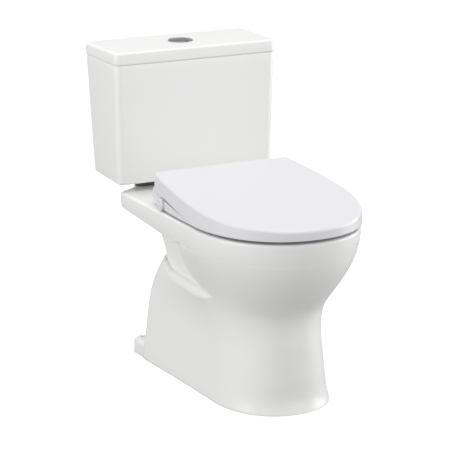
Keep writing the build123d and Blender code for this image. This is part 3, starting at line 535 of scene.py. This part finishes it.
# the trap's throat: rings turn about a line behind the sump
throat = well_ring(140, bearing)
throat_middle = np.array([0.0, -484.0])
PIVOT = np.array([-454.0, 140.0])
for share in np.linspace(0, 1, 15)[1:]:
    turn = radians(127.0) * share
    scale = 1.0 + (0.72 - 1.0) * smooth(share * 1.6)
    flat = (throat - throat_middle) * scale
    reach_back = flat[:, 1] - 30.0
    y = PIVOT[0] + reach_back * np.cos(turn)
    z = PIVOT[1] + reach_back * np.sin(turn)
    rings.append(np.column_stack([flat[:, 0], y, z]))
bowl_shell = skin(np.array(rings))
print("bowl rings:", len(rings), "points in a ring:", len(rings[0]))

# %% [markdown]
# Two ears at the rear of the foot take the floor screws. Each is a closed loop of rings
# round its screw hole: up the outside, over the soft top edge, in to the hole and down it.
# A boss under the tail of the deck holds the way for the flush water, and the outlet horn
# stands inside the hollow foot, over the floor drain.

# %% Small solids
def rounded_rect(x, y, r, count=10):
    """A closed ring: four quarter rounds between two x and two y values."""
    a = np.linspace(0, pi / 2, count)
    arcs = []
    corners = [(x[1] - r, y[0] + r), (x[1] - r, y[1] - r), (x[0] + r, y[1] - r), (x[0] + r, y[0] + r)]
    for turn, (cx, cy) in enumerate(corners):
        b = a + (turn - 1) * pi / 2
        arcs.append(np.column_stack([cx + r * np.cos(b), cy + r * np.sin(b)]))
    return np.vstack(arcs)


def slab(ring, z, r):
    """A closed ring raised between two heights, its edges rounded by r."""
    low = [at_height(inset(ring, r * (1 - up)), z[0] + r * out) for out, up in quarter(4)]
    high = [at_height(inset(ring, r * out), z[1] - r + r * up) for out, up in quarter(5)]
    return skin(np.array(low + high))


def turned(profile, centre, axis, count=48):
    """A closed line of (radius, along) pairs turned about an axis through a point; open ends are capped."""
    a = np.linspace(0, 2 * pi, count, endpoint=False)
    profile = np.array(profile, float)
    across = np.array([[0, 1, 0], [0, 0, 1], [1, 0, 0]])[axis]
    other = np.array([[0, 0, 1], [1, 0, 0], [0, 1, 0]])[axis]
    along = np.eye(3)[axis]
    ring = np.cos(a)[:, None] * across + np.sin(a)[:, None] * other
    rings = profile[:, 0, None, None] * ring[None] + profile[:, 1, None, None] * along
    return rings + np.array(centre)


def rod(span, centre, r, edge, axis, count=48):
    """A round bar along an axis between two values, its ends' edges rounded."""
    low = [(r - edge * (1 - up), span[0] + edge * out) for out, up in quarter(3)]
    high = [(r - edge * out, span[1] - edge + edge * up) for out, up in quarter(3)]
    return skin(turned(low + high, centre, axis, count))


def ear(side):
    """One foot ear with its screw hole, wrapped into a closed loop of rings."""
    x, y, r, height, hole, edge = 116.0 * side, -114.0, 20.0, 38.0, 4.5, 13.0
    a = np.linspace(-pi / 2, 3 * pi / 2, 96, endpoint=False)
    length = np.where(np.sin(a) < 0, 80.0, 0.0)
    outline = np.column_stack([x + r * np.cos(a), y + r * np.sin(a) - length * smooth(-np.sin(a) * 1.2)])
    circle = np.column_stack([np.cos(a), np.sin(a)])
    centre = np.array([x, y])
    stack = [at_height(outline, 0.0), at_height(outline, height - edge)]
    stack += [at_height(inset(outline, edge * out), height - edge + edge * up) for out, up in quarter(5)[1:]]
    rim_top = inset(outline, edge)
    for share in (0.5, 0.85):
        stack.append(at_height(rim_top + (centre + circle * (hole + 1.5) - rim_top) * share, height))
    stack += [at_height(centre + circle * (hole + 1.5 * (1 - up)), height - 1.5 * out)
              for out, up in quarter(3)]
    stack.append(at_height(centre + circle * hole, 0.0))
    return skin(np.array(stack), wrap=True)


boss = slab(rounded_rect((-57.0, 57.0), (-300.0, -40.0), 14.0), (350.0, 380.0), 6.0)
horn_profile = [(53, 60), (53, 3), (51.5, 0.6), (50, 0), (46, 0), (44.5, 0.6), (43, 3), (43, 60)]
horn = skin(turned(horn_profile, (0, -285, 0), 2, 72), wrap=True)
build("bowl_china", [bowl_shell, ear(-1), ear(1), boss, horn], "bowl_and_tank", ["bowl"], "vitreous_china")

# %% [markdown]
# ## The tank
# A hollow china box, a little narrower and shallower at its foot, its corners rounded and
# its faces very slightly crowned so that they don't sag in the kiln. Rings run up the
# outside, over the rim and down the inside to the floor.

# %% Tank
TANK_LOW, TANK_HIGH = 426.5, 707.0
TANK_RIM_R = 4.0


def crowned(ring, depth):
    """Pushes the long sides of a box outline out by up to depth at their middles."""
    low, high = ring.min(0), ring.max(0)
    share = (ring - (low + high) / 2) / ((high - low) / 2)
    push = depth * share * (1 - share[:, ::-1] ** 2)
    return ring + push


def tank_ring(z, wall=0.0, corner=15.0):
    """A four-sided outline whose half-widths and depths run evenly from the foot to the rim."""
    share = (z - TANK_LOW) / (TANK_HIGH - TANK_LOW)
    front_half = 197.4 + (204.8 - 197.4) * share - wall
    back_half = 188.7 + (204.8 - 188.7) * share - wall
    front_y = -174.0 - 2.8 * share + wall
    back_y = -4.0 + 2.8 * share - wall
    a = np.linspace(0, pi / 2, 14)
    corners = [(front_half, front_y, -1), (back_half, back_y, 0),
               (-back_half, back_y, 1), (-front_half, front_y, 2)]
    arcs = []
    for (x, y, turn) in corners:
        b = a + turn * pi / 2
        cx, cy = x - corner * np.sign(x), y + corner * (1 if turn in (-1, 2) else -1)
        arcs.append(np.column_stack([cx + corner * np.cos(b), cy + corner * np.sin(b)]))
    arcs = np.vstack(arcs)
    return between_corners(arcs, 14)


def between_corners(arcs, per_corner, extra=18):
    """Adds evenly spaced points on the straight stretches between the corner arcs."""
    parts = []
    for k in range(4):
        arc = arcs[k * per_corner:(k + 1) * per_corner]
        nxt = arcs[((k + 1) % 4) * per_corner]
        t = np.linspace(0, 1, extra + 2)[1:-1, None]
        parts += [arc, arc[-1] + (nxt - arc[-1]) * t]
    return np.vstack(parts)


tank = []
foot = tank_ring(TANK_LOW)
tank_middle = np.array([0.0, -88.0])
for share in (0.3, 0.7, 0.95):
    tank.append(at_height(tank_middle + (inset(foot, 6.0) - tank_middle) * share, TANK_LOW))
for out, up in quarter(6):
    tank.append(at_height(inset(foot, 6.0 * (1 - up)), TANK_LOW + 6.0 * out))
for z in np.linspace(TANK_LOW + 6, TANK_HIGH - TANK_RIM_R, 14)[1:]:
    bulge = 0.9 * np.sin(pi * (z - TANK_LOW) / (TANK_HIGH - TANK_LOW))
    tank.append(at_height(crowned(tank_ring(z), bulge), z))
rim_ring = tank_ring(TANK_HIGH)
for out, up in quarter(4)[1:]:
    tank.append(at_height(inset(rim_ring, TANK_RIM_R * out), TANK_HIGH - TANK_RIM_R + TANK_RIM_R * up))
for out, up in quarter(3):
    tank.append(at_height(tank_ring(TANK_HIGH, 10 - 2.0 * (1 - up), 8.0), TANK_HIGH - 2.0 * out))
for z in np.linspace(TANK_HIGH - 4, TANK_LOW + 14 + 10, 10):
    tank.append(at_height(tank_ring(z, 10, 8.0), z))
tank_floor = tank_ring(TANK_LOW + 14, 10, 12.0)
for out, up in quarter(4)[1:]:
    tank.append(at_height(inset(tank_floor, 10.0 * out), TANK_LOW + 24 - 10.0 * up))
for share in (0.7, 0.3):
    tank.append(at_height(tank_middle + (inset(tank_floor, 10.0) - tank_middle) * share, TANK_LOW + 14))
build("tank_china", [skin(np.array(tank))], "bowl_and_tank", ["cistern_tank"], "vitreous_china")

# %% [markdown]
# ## The tank lid
# A loose china slab with a turned-down edge. It has a hole for the button, so its skin is a
# closed loop: out of the hole, across the top, over the soft edge, down the side and back
# under to the hole. The top falls away by half a millimetre so that water runs off it.

# %% Tank lid
LID_LOW, LID_HIGH = 707.0, 736.0
BUTTON_Y, BUTTON_R = -89.0, 24.4


def lid_ring(x, y, r):
    arcs = rounded_rect((-x, x), y, r, 14)
    return between_corners(arcs, 14)


outline = lid_ring(206.0, (-178.0, 0.0), 15.0)
bearing_lid = np.arctan2(outline[:, 1] - BUTTON_Y, outline[:, 0])
hole = np.column_stack([np.cos(bearing_lid), np.sin(bearing_lid)])
button_middle = np.array([0.0, BUTTON_Y])
HOLE_R, TOP_R, LOW_R = BUTTON_R + 3.0, 5.5, 3.0


def lid_height(ring, base):
    """The top's gentle fall from the middle to the edges."""
    return base - 0.6 * (np.abs(ring[:, 0]) / 206.0) ** 4 - 0.4 * (np.abs(ring[:, 1] - BUTTON_Y) / 89.0) ** 4


stack = [at_height(button_middle + hole * HOLE_R, z) for z in (LID_HIGH - 12, LID_HIGH - 1.5)]
stack += [at_height(button_middle + hole * (HOLE_R + 1.5 * out), LID_HIGH - 1.5 + 1.5 * up)
          for out, up in quarter(3)[1:]]
inner_edge, outer_edge = button_middle + hole * (HOLE_R + 1.5), inset(outline, TOP_R)
for share in (0.1, 0.3, 0.55, 0.8, 0.93, 1.0):
    ring = inner_edge + (outer_edge - inner_edge) * share
    stack.append(at_height(ring, lid_height(ring, LID_HIGH)))
edge_z = lid_height(outer_edge, LID_HIGH)
for out, up in quarter(7)[1:]:
    stack.append(at_height(inset(outline, TOP_R * (1 - up)), edge_z - TOP_R * out))
for z in (720.0, 713.0):
    stack.append(at_height(outline, z))
for out, up in quarter(4):
    stack.append(at_height(inset(outline, LOW_R * out), LID_LOW + LOW_R * (1 - up)))
reach = 1.2 + 10.0 + 2.0
stack.append(at_height(inset(lid_ring(206.0, (-178.0, 0.0), 22.0), reach), LID_LOW))
lip_ring = lid_ring(206.0 - reach, (-178.0 + reach, -reach), 9.0)
stack.append(at_height(lip_ring, LID_LOW - 8.0))
stack.append(at_height(inset(lip_ring, 1.0), LID_LOW - 9.0))
inside = lid_ring(182.0, (-154.0, -24.0), 8.0)
stack.append(at_height(inset(inside, -1.0), LID_LOW - 9.0))
stack.append(at_height(inside, LID_LOW - 8.0))
stack.append(at_height(inside, LID_HIGH - 14.0))
stack.append(at_height(inset(inside, 2.0), LID_HIGH - 12.0))
stack.append(at_height(button_middle + hole * (HOLE_R + 8), LID_HIGH - 12.0))
build("tank_lid_china", [skin(np.array(stack), wrap=True)], "tank_lid", ["tank_lid"], "vitreous_china")

# %% [markdown]
# ## The flush button
# Two halves of one chrome dome, parted by a fine gap, in a chrome bezel. The reflection is
# all there is to see on chrome, so the dome is finely divided and its edges are rounded.
# Each half is a ring cut by the gap's line, and the rings shrink to its middle.

# %% Buttons
def dome_half(side, gap=0.45, split=7.0):
    """A disc cut by a line of constant x; the top follows a ball 4.2 mm high over the disc."""
    edge_x = split + side * gap
    limit = np.arccos(np.clip(edge_x / BUTTON_R, -1, 1))
    a = np.linspace(limit, 2 * pi - limit, 90) if side < 0 else np.linspace(-limit, limit, 60)
    arc = np.column_stack([BUTTON_R * np.cos(a), BUTTON_R * np.sin(a)])
    t = np.linspace(0, 1, 42)[1:-1, None]
    ring = np.vstack([arc, arc[-1] + (arc[0] - arc[-1]) * t])
    middle = np.array([ring[:, 0].mean(), 0.0])
    ball = (BUTTON_R ** 2 + 4.2 ** 2) / (2 * 4.2)

    def top(flat):
        return LID_HIGH + 5.7 - ball + np.sqrt(ball ** 2 - (flat ** 2).sum(1))

    stack = [at_height(middle + (ring - middle) * share, LID_HIGH - 8.0) for share in (0.3, 0.97, 1.0)]
    stack.append(at_height(ring, top(ring) - 0.8))
    for out, up in quarter(4)[1:]:
        flat = middle + (ring - middle) * (1 - 0.8 * out / 16)
        stack.append(at_height(flat, top(flat) - 0.8 * (1 - up)))
    for share in np.linspace(0.93, 0.04, 16):
        flat = middle + (ring - middle) * share
        stack.append(at_height(flat, top(flat)))
    stack = np.array(stack)
    stack[..., 1] += BUTTON_Y
    return skin(stack)


build("full_flush_dome", [dome_half(-1)], "full_flush", ["full_flush_button"], "polished_chrome")
build("half_flush_dome", [dome_half(1)], "half_flush", ["half_flush_button"], "polished_chrome")
bezel_profile = [(BUTTON_R + 0.3, -27), (BUTTON_R + 0.3, 1.2), (BUTTON_R + 0.8, 1.8), (BUTTON_R + 1.6, 2.0),
                 (BUTTON_R + 3.2, 1.9), (BUTTON_R + 4.4, 1.3), (BUTTON_R + 5.0, 0.3), (BUTTON_R + 5.0, 0.02),
                 (BUTTON_R + 2.9, 0.0), (BUTTON_R + 2.9, -27)]
bezel = skin(turned(bezel_profile, (0, BUTTON_Y, LID_HIGH), 2, 96), wrap=True)
bezel_floor = rod((LID_HIGH - 27, LID_HIGH - 24), (0, BUTTON_Y, 0), BUTTON_R + 2.9, 0.3, 2, 96)
build("button_bezel_ring", [bezel, bezel_floor], "tank_lid", ["button_bezel"], "polished_chrome")

# %% [markdown]
# ## The seat lid
# A thin moulded shell: a sloping top, a soft edge and a skirt that drops over the seat ring
# and rises in steps past the control knob and the hinge. The grid goes from the middle of
# the top over the edge and down the skirt, round its lower rim and back up the inside.

# %% Seat lid
LID_HALF, LID_REAR_HALF, LID_WIDE_Y, LID_TIP_Y, LID_REAR_Y = 190.3, 174.0, -528.0, -755.0, -295.0
LID_POWER = 2.16
LID_MARKS = [-532.0, -377.0, -327.0, -322.0]
SKIRT_LINE = [(-800, 415.5), (-534, 415.5), (-526, 417.5), (-377, 440), (-327, 440),
              (-322, 449.5), (-250, 455.5)]
LID_SHARES = [np.linspace(0, 1, 50)] + [np.linspace(0, 1, count)[1:] for count in (22, 8, 6, 6, 12, 16)]


def lid_outline(shrink=0.0, corner=16.0):
    """Nose, sides that leave it smoothly, rounded rear corners and a straight rear."""
    r = max(corner - shrink, 3.0)
    half, rear_half, rear_y = LID_HALF - shrink, LID_REAR_HALF - shrink, LID_REAR_Y - shrink
    side = np.vstack([nose(half, LID_WIDE_Y, LID_TIP_Y + shrink, LID_POWER),
                      flank(half, LID_WIDE_Y, rear_half, rear_y - r)[1:]])
    parts, rest = [], side
    for mark in LID_MARKS:
        before, rest = split_at_y(rest, mark)
        parts.append(before)
    arc = corner_arc(rear_half, rear_y, r)
    parts += [rest, arc, np.array([arc[-1], [0, rear_y]])]
    return whole(np.vstack([divide(line, s) for line, s in zip(parts, LID_SHARES)]))


def lid_plane(y):
    """Height of the lid's top: it falls 49.6 mm from the rear to the tip."""
    return 437.4 + (y - LID_TIP_Y) * (487.0 - 437.4) / (LID_REAR_Y - LID_TIP_Y)


def lid_crown(ring):
    """A crown of under a millimetre, so that the top holds a soft highlight."""
    return 1.2 * np.clip(1 - (ring[:, 0] / 190) ** 2 - ((ring[:, 1] + 520) / 240) ** 2, -1, 1) - 1.2


SKIRT_KEYS = np.array(SKIRT_LINE)
LID_EDGE_R, LID_WALL, FLARE = 8.0, 3.6, 1.6
lid_stack = []
lid_middle = np.array([0.0, -520.0])
top_ring = lid_outline(FLARE)
start = inset(top_ring, LID_EDGE_R)
for share in (0.02, 0.2, 0.4, 0.6, 0.8, 0.92, 0.98):
    ring = lid_middle + (start - lid_middle) * share
    lid_stack.append(at_height(ring, lid_plane(ring[:, 1]) + lid_crown(ring)))
edge_top = lid_plane(start[:, 1]) + lid_crown(start)
for out, up in quarter(8):
    lid_stack.append(at_height(inset(top_ring, LID_EDGE_R * (1 - up)), edge_top - LID_EDGE_R * out))
side_top = edge_top - LID_EDGE_R
bottom = np.interp(top_ring[:, 1], SKIRT_KEYS[:, 0], SKIRT_KEYS[:, 1])
for share in (0.3, 0.6, 0.88):
    height = side_top + (bottom + 0.8 - side_top) * share
    lid_stack.append(at_height(lid_outline(FLARE * (1 - share)), height))
full = lid_outline(0.0)
lid_stack.append(at_height(full, bottom + 0.8))
lid_stack.append(at_height(inset(full, 0.3), bottom + 0.2))
lid_stack.append(at_height(inset(full, 0.9), bottom))
lid_stack.append(at_height(inset(full, LID_WALL - 0.6), bottom))
inner_ring = inset(full, LID_WALL)
lid_stack.append(at_height(inner_ring, bottom + 0.6))
inner_top = side_top + 1.0
lid_stack.append(at_height(inset(full, LID_WALL + 0.6), bottom + (inner_top - bottom) * 0.6))
lid_stack.append(at_height(inset(top_ring, LID_WALL), inner_top))
for out, up in quarter(4)[1:]:
    height = inner_top + (edge_top - LID_WALL - inner_top) * up
    lid_stack.append(at_height(inset(top_ring, LID_WALL + 4.5 * out), height))
for share in (0.95, 0.75, 0.5, 0.25, 0.03):
    ring = lid_middle + (inset(top_ring, LID_WALL + 4.5) - lid_middle) * share
    lid_stack.append(at_height(ring, lid_plane(ring[:, 1]) + lid_crown(ring) - LID_WALL))


def box_shell(x, y, z, r=1.0):
    """A box between two x, two y and two z values, its edges rounded."""
    return slab(rounded_rect(x, y, max(r, 0.3), 5), z, r)


HINGE_Y, HINGE_Z = -296.0, 438.0
lid_shells = [skin(np.array(lid_stack))]
for side in (-1, 1):
    span = sorted((side * 142.5, side * 153.0))
    lid_shells.append(rod(span, (0, HINGE_Y, HINGE_Z), 8.5, 1.0, 0))
    lid_shells.append(box_shell(span, (-311.0, -299.0), (436.0, 482.0), 1.2))
build("seat_lid_shell", lid_shells, "lid", ["seat_lid"], "seat_plastic")

# %% [markdown]
# ## The seat ring
# A closed loop: its section runs from the bottom of the hole up its rounded inner edge,
# over the crowned top, down the outer edge and back underneath. Under the rear the bottom
# rises over the wash nozzles and their guard.

# %% Seat ring
def ring_top(y):
    """The seat's top rises from its tip to its rear."""
    return 428.5 + (y + 745.0) * (442.0 - 428.5) / 340.0


side_line = np.vstack([nose(176.0, LID_WIDE_Y, -745.0, LID_POWER),
                       flank(176.0, LID_WIDE_Y, 170.0, -417.0)[1:]])
seat_arc = corner_arc(170.0, -405.0, 12.0)
outer_seat = whole(np.vstack([divide(side_line, np.linspace(0, 1, 80)),
                              divide(seat_arc, np.linspace(0, 1, 10)[1:]),
                              divide(np.array([seat_arc[-1], [24.0, -405.0]]), np.linspace(0, 1, 24)[1:]),
                              divide(np.array([[24.0, -405.0], [0.0, -405.0]]), np.linspace(0, 1, 8)[1:])]))
half_seat = len(outer_seat) // 2 + 1
seat_bearing = np.arctan2(outer_seat[:half_seat, 0], -(outer_seat[:half_seat, 1] + 560.0))
seat_bearing[0], seat_bearing[-1] = 0.0, pi
hole_front = nose(108.0, 0, -128.0, 2.1)
hole_line = np.vstack([hole_front, nose(108.0, 0, 112.0, 2.1)[::-1][1:]])
hole_angle = np.arctan2(hole_line[:, 0], -hole_line[:, 1])
hole_half = np.column_stack([np.interp(seat_bearing, hole_angle, hole_line[:, 0]),
                             np.interp(seat_bearing, hole_angle, hole_line[:, 1]) - 560.0])
hole_seat = whole(hole_half)
UNDER = 415.2


def under_seat(ring):
    """The flat bottom, raised to 421 over the nozzles and to 432 over their guard."""
    x, y = np.abs(ring[:, 0]), ring[:, 1]
    nozzles = smooth((26.0 - x) / 2.0) * smooth((y + 472.0) / 3.0)
    guard = smooth((32.0 - x) / 2.0) * smooth((y + 417.0) / 1.2)
    return UNDER + np.maximum(5.9 * nozzles, 16.9 * guard)


seat_stack = []
IN_R, OUT_R = 9.0, 8.0
for share in (0.0, 0.25, 0.28, 0.5, 0.75, 0.9):
    ring = outer_seat + (hole_seat - outer_seat) * share
    ring = inset(outer_seat, 1.5) if share == 0.0 else ring
    seat_stack.append(at_height(ring, under_seat(ring)))
hole_out = inset(hole_seat, -1.0)
seat_stack.append(at_height(hole_out, under_seat(hole_out)))
seat_stack.append(at_height(hole_seat, under_seat(hole_seat) + 1.0))
for out, up in quarter(6):
    ring = inset(hole_seat, -IN_R * out)
    seat_stack.append(at_height(ring, ring_top(ring[:, 1]) - IN_R * (1 - up) * 0.9 - 0.6))
inner_rim, outer_rim = inset(hole_seat, -IN_R), inset(outer_seat, OUT_R)
for share in np.linspace(0, 1, 9)[1:-1]:
    ring = inner_rim + (outer_rim - inner_rim) * share
    seat_stack.append(at_height(ring, ring_top(ring[:, 1]) - 0.6 + 0.6 * np.sin(pi * share)))
for out, up in quarter(6):
    ring = inset(outer_seat, OUT_R * (1 - up))
    seat_stack.append(at_height(ring, ring_top(ring[:, 1]) - 0.6 - OUT_R * out * 0.9))
seat_stack.append(at_height(outer_seat, under_seat(outer_seat) + 1.5))
seat_shells = [skin(np.array(seat_stack), wrap=True)]
for side in (-1, 1):
    span = sorted((side * 131.0, side * 141.0))
    seat_shells.append(rod(span, (0, HINGE_Y, HINGE_Z), 9.0, 1.0, 0))
    seat_shells.append(box_shell(span, (-419.0, -299.0), (430.0, 441.3), 1.5))
build("seat_ring_shell", seat_shells, "seat", ["seat_ring"], "seat_plastic")

# %% [markdown]
# ## The housing and the control arm
# The housing behind the seat is a moulded cover. Seen from the side it is a low box whose
# rear rounds over the hinge; between that block and its two ears lie slots for the hinge
# arms. The control arm is a thin panel that runs forward under the lid's skirt.

# %% Housing and control arm
def carried(profile, x, edge, count=4):
    """A closed (y, z) profile carried along X, its two ends rounded by edge."""
    low = [(inset(profile, edge * (1 - up)), x[0] + edge * out) for out, up in quarter(count)]
    high = [(inset(profile, edge * out), x[1] - edge + edge * up) for out, up in quarter(count)]
    return skin(np.array([np.column_stack([np.full(len(p), at), p]) for p, at in low + high]))


def housing_profile():
    """Flat bottom and front, a sloping top and a rear rounded about the hinge line."""
    a = np.linspace(0, pi / 2, 14)
    back = np.column_stack([HINGE_Y + 11.0 * np.cos(a), HINGE_Z + 11.0 * np.sin(a)])
    front = round_path([(HINGE_Y, HINGE_Z + 11), (-378.0, 450.0), (-402.0, 424.0), (-402.0, 412.5),
                        (HINGE_Y + 11, 412.5), (HINGE_Y + 11, HINGE_Z - 6)], (10, 4, 1.5, 3))
    return np.vstack([back, front[1:]])


profile = housing_profile()
cover = [carried(profile, span, 2.0) for span in ((-129.5, 129.5), (154.5, 168.0), (-168.0, -154.5))]
cover += [box_shell(span, (-402.0, -285.0), (412.5, 424.0), 1.0) for span in ((-156.0, -128.0), (128.0, 156.0))]
build("bidet_housing", cover, "bowl_and_tank", ["bidet_base_cover"], "seat_plastic")

# y and x of the arm's two sides, then y and z of its top and bottom
ARM_OUTSIDE = [(-528, 188.0), (-470, 187.3), (-420, 185.7), (-380, 182.8), (-377, 182.6),
               (-376, 177.4), (-340, 177.4)]
ARM_INSIDE = [(-528, 179.6), (-408, 179.3), (-404, 168.4), (-340, 168.4)]
ARM_TOP = [(-528, 417.6), (-352, 437.0), (-340, 437.0)]
ARM_LOW = [(-528, 414.3), (-380, 413.6), (-340, 411.0)]


def arm_rings():
    """Rounded box sections from the arm's thin front end to its plate behind the knob."""
    places = np.concatenate([[-528.0, -527.2], np.linspace(-524, -410, 24), [-407, -404],
                             np.linspace(-400, -378, 6), [-377, -376, -360, -342, -340.6, -340]])
    ends = np.minimum(1.0, 0.55 + np.minimum(places + 528.0, -340.0 - places) * 0.4)
    rings = []
    for y, end in zip(places, ends):
        out, ins, high, low = (np.interp(y, *np.array(line).T)
                               for line in (ARM_OUTSIDE, ARM_INSIDE, ARM_TOP, ARM_LOW))
        x, z, half, rise = -(out + ins) / 2, (low + high) / 2, (out - ins) / 2 * end, (high - low) / 2 * end
        section = rounded_rect((x - half, x + half), (z - rise, z + rise), min(1.3, rise * 0.9), 5)
        rings.append(np.column_stack([section[:, 0], np.full(len(section), y), section[:, 1]]))
    return np.array(rings)


build("control_side_arm", [skin(arm_rings())], "bowl_and_tank", ["control_arm"], "seat_plastic")

# %% [markdown]
# ## Floor, light and camera
# The photograph is a studio cut-out on white. A white floor and a white world seen by the
# camera give the same ground, and large soft lamps give the china its long gradients. The
# floor is lifted to white for the camera only, so it throws no extra light on the object.

# %% Floor
FLOOR_REACH = 6.0
floor_mesh = bpy.data.meshes.new("floor")
corners = np.array([[-1, -1, 0], [1, -1, 0], [1, 1, 0], [-1, 1, 0]]) * FLOOR_REACH
floor_mesh.from_pydata(corners.tolist(), [], [(0, 1, 2, 3)])
floor = bpy.data.objects.new("floor", floor_mesh)
bpy.context.scene.collection.objects.link(floor)
paper = finish("white_paper_floor", "#A8A8A8", {"Roughness": 0.9})
floor_mesh.materials.append(paper)
tree = paper.node_tree
shader, output = tree.nodes["Principled BSDF"], tree.nodes["Material Output"]
path = add_node(paper, "ShaderNodeLightPath")
lift = add_node(paper, "ShaderNodeEmission", [("Color", (1, 1, 1, 1)), ("Strength", 0.8)])
nothing = add_node(paper, "ShaderNodeEmission", [("Strength", 0.0)])
seen = add_node(paper, "ShaderNodeMixShader", [],
                [(0, path.outputs["Is Camera Ray"]), (1, nothing.outputs[0]), (2, lift.outputs[0])])
total = add_node(paper, "ShaderNodeAddShader", [], [(0, shader.outputs[0]), (1, seen.outputs[0])])
tree.links.new(total.outputs[0], output.inputs["Surface"])

# %% World and lamps
world = bpy.data.worlds.new("studio")
bpy.context.scene.world = world
world.use_nodes = True
tree = world.node_tree
soft = tree.nodes["Background"]
soft.inputs["Color"].default_value = (1, 1, 1, 1)
soft.inputs["Strength"].default_value = 0.7
white = tree.nodes.new("ShaderNodeBackground")
white.inputs["Color"].default_value = (1, 1, 1, 1)
white.inputs["Strength"].default_value = 1.0
path = tree.nodes.new("ShaderNodeLightPath")
mix = tree.nodes.new("ShaderNodeMixShader")
tree.links.new(path.outputs["Is Camera Ray"], mix.inputs[0])
tree.links.new(soft.outputs[0], mix.inputs[1])
tree.links.new(white.outputs[0], mix.inputs[2])
tree.links.new(mix.outputs[0], tree.nodes["World Output"].inputs["Surface"])


def lamp(name, place, target, size, power):
    """A square soft lamp that faces its target."""
    light = bpy.data.lights.new(name, "AREA")
    light.shape, light.size, light.energy = "SQUARE", size, power
    holder = bpy.data.objects.new(name, light)
    bpy.context.scene.collection.objects.link(holder)
    direction = np.array(target) - np.array(place)
    holder.location = place
    holder.rotation_euler = Vector(direction.tolist()).to_track_quat("-Z", "Y").to_euler()
    return holder


lamp("overhead", (0.0, -0.1, 2.9), (0.0, 0.0, 0.4), 2.2, 20.0)
lamp("left_key", (-2.9, -0.2, 1.2), (0.0, 0.0, 0.4), 2.2, 31.0)
lamp("right_key", (2.8, -0.6, 0.95), (0.0, -0.1, 0.35), 2.2, 42.0)
lamp("front_fill", (0.9, -3.1, 0.7), (0.0, 0.0, 0.25), 1.8, 4.5)

# %% Camera
AZIMUTH, ELEVATION, DISTANCE = radians(-27.21), radians(14.87), 5.2606
TARGET = np.array([0.0085, 0.0778, 0.3395])
back = np.array([np.sin(AZIMUTH) * np.cos(ELEVATION), -np.cos(AZIMUTH) * np.cos(ELEVATION),
                 np.sin(ELEVATION)])
camera = bpy.data.cameras.new("camera")
camera.lens, camera.sensor_width = 183.4, 36.0
view = bpy.data.objects.new("camera", camera)
view.location = (TARGET + back * DISTANCE).tolist()
view.rotation_euler = (radians(90) - ELEVATION, 0.0, AZIMUTH)
bpy.context.scene.collection.objects.link(view)
bpy.context.scene.camera = view
bpy.context.scene.view_settings.view_transform = "Standard"
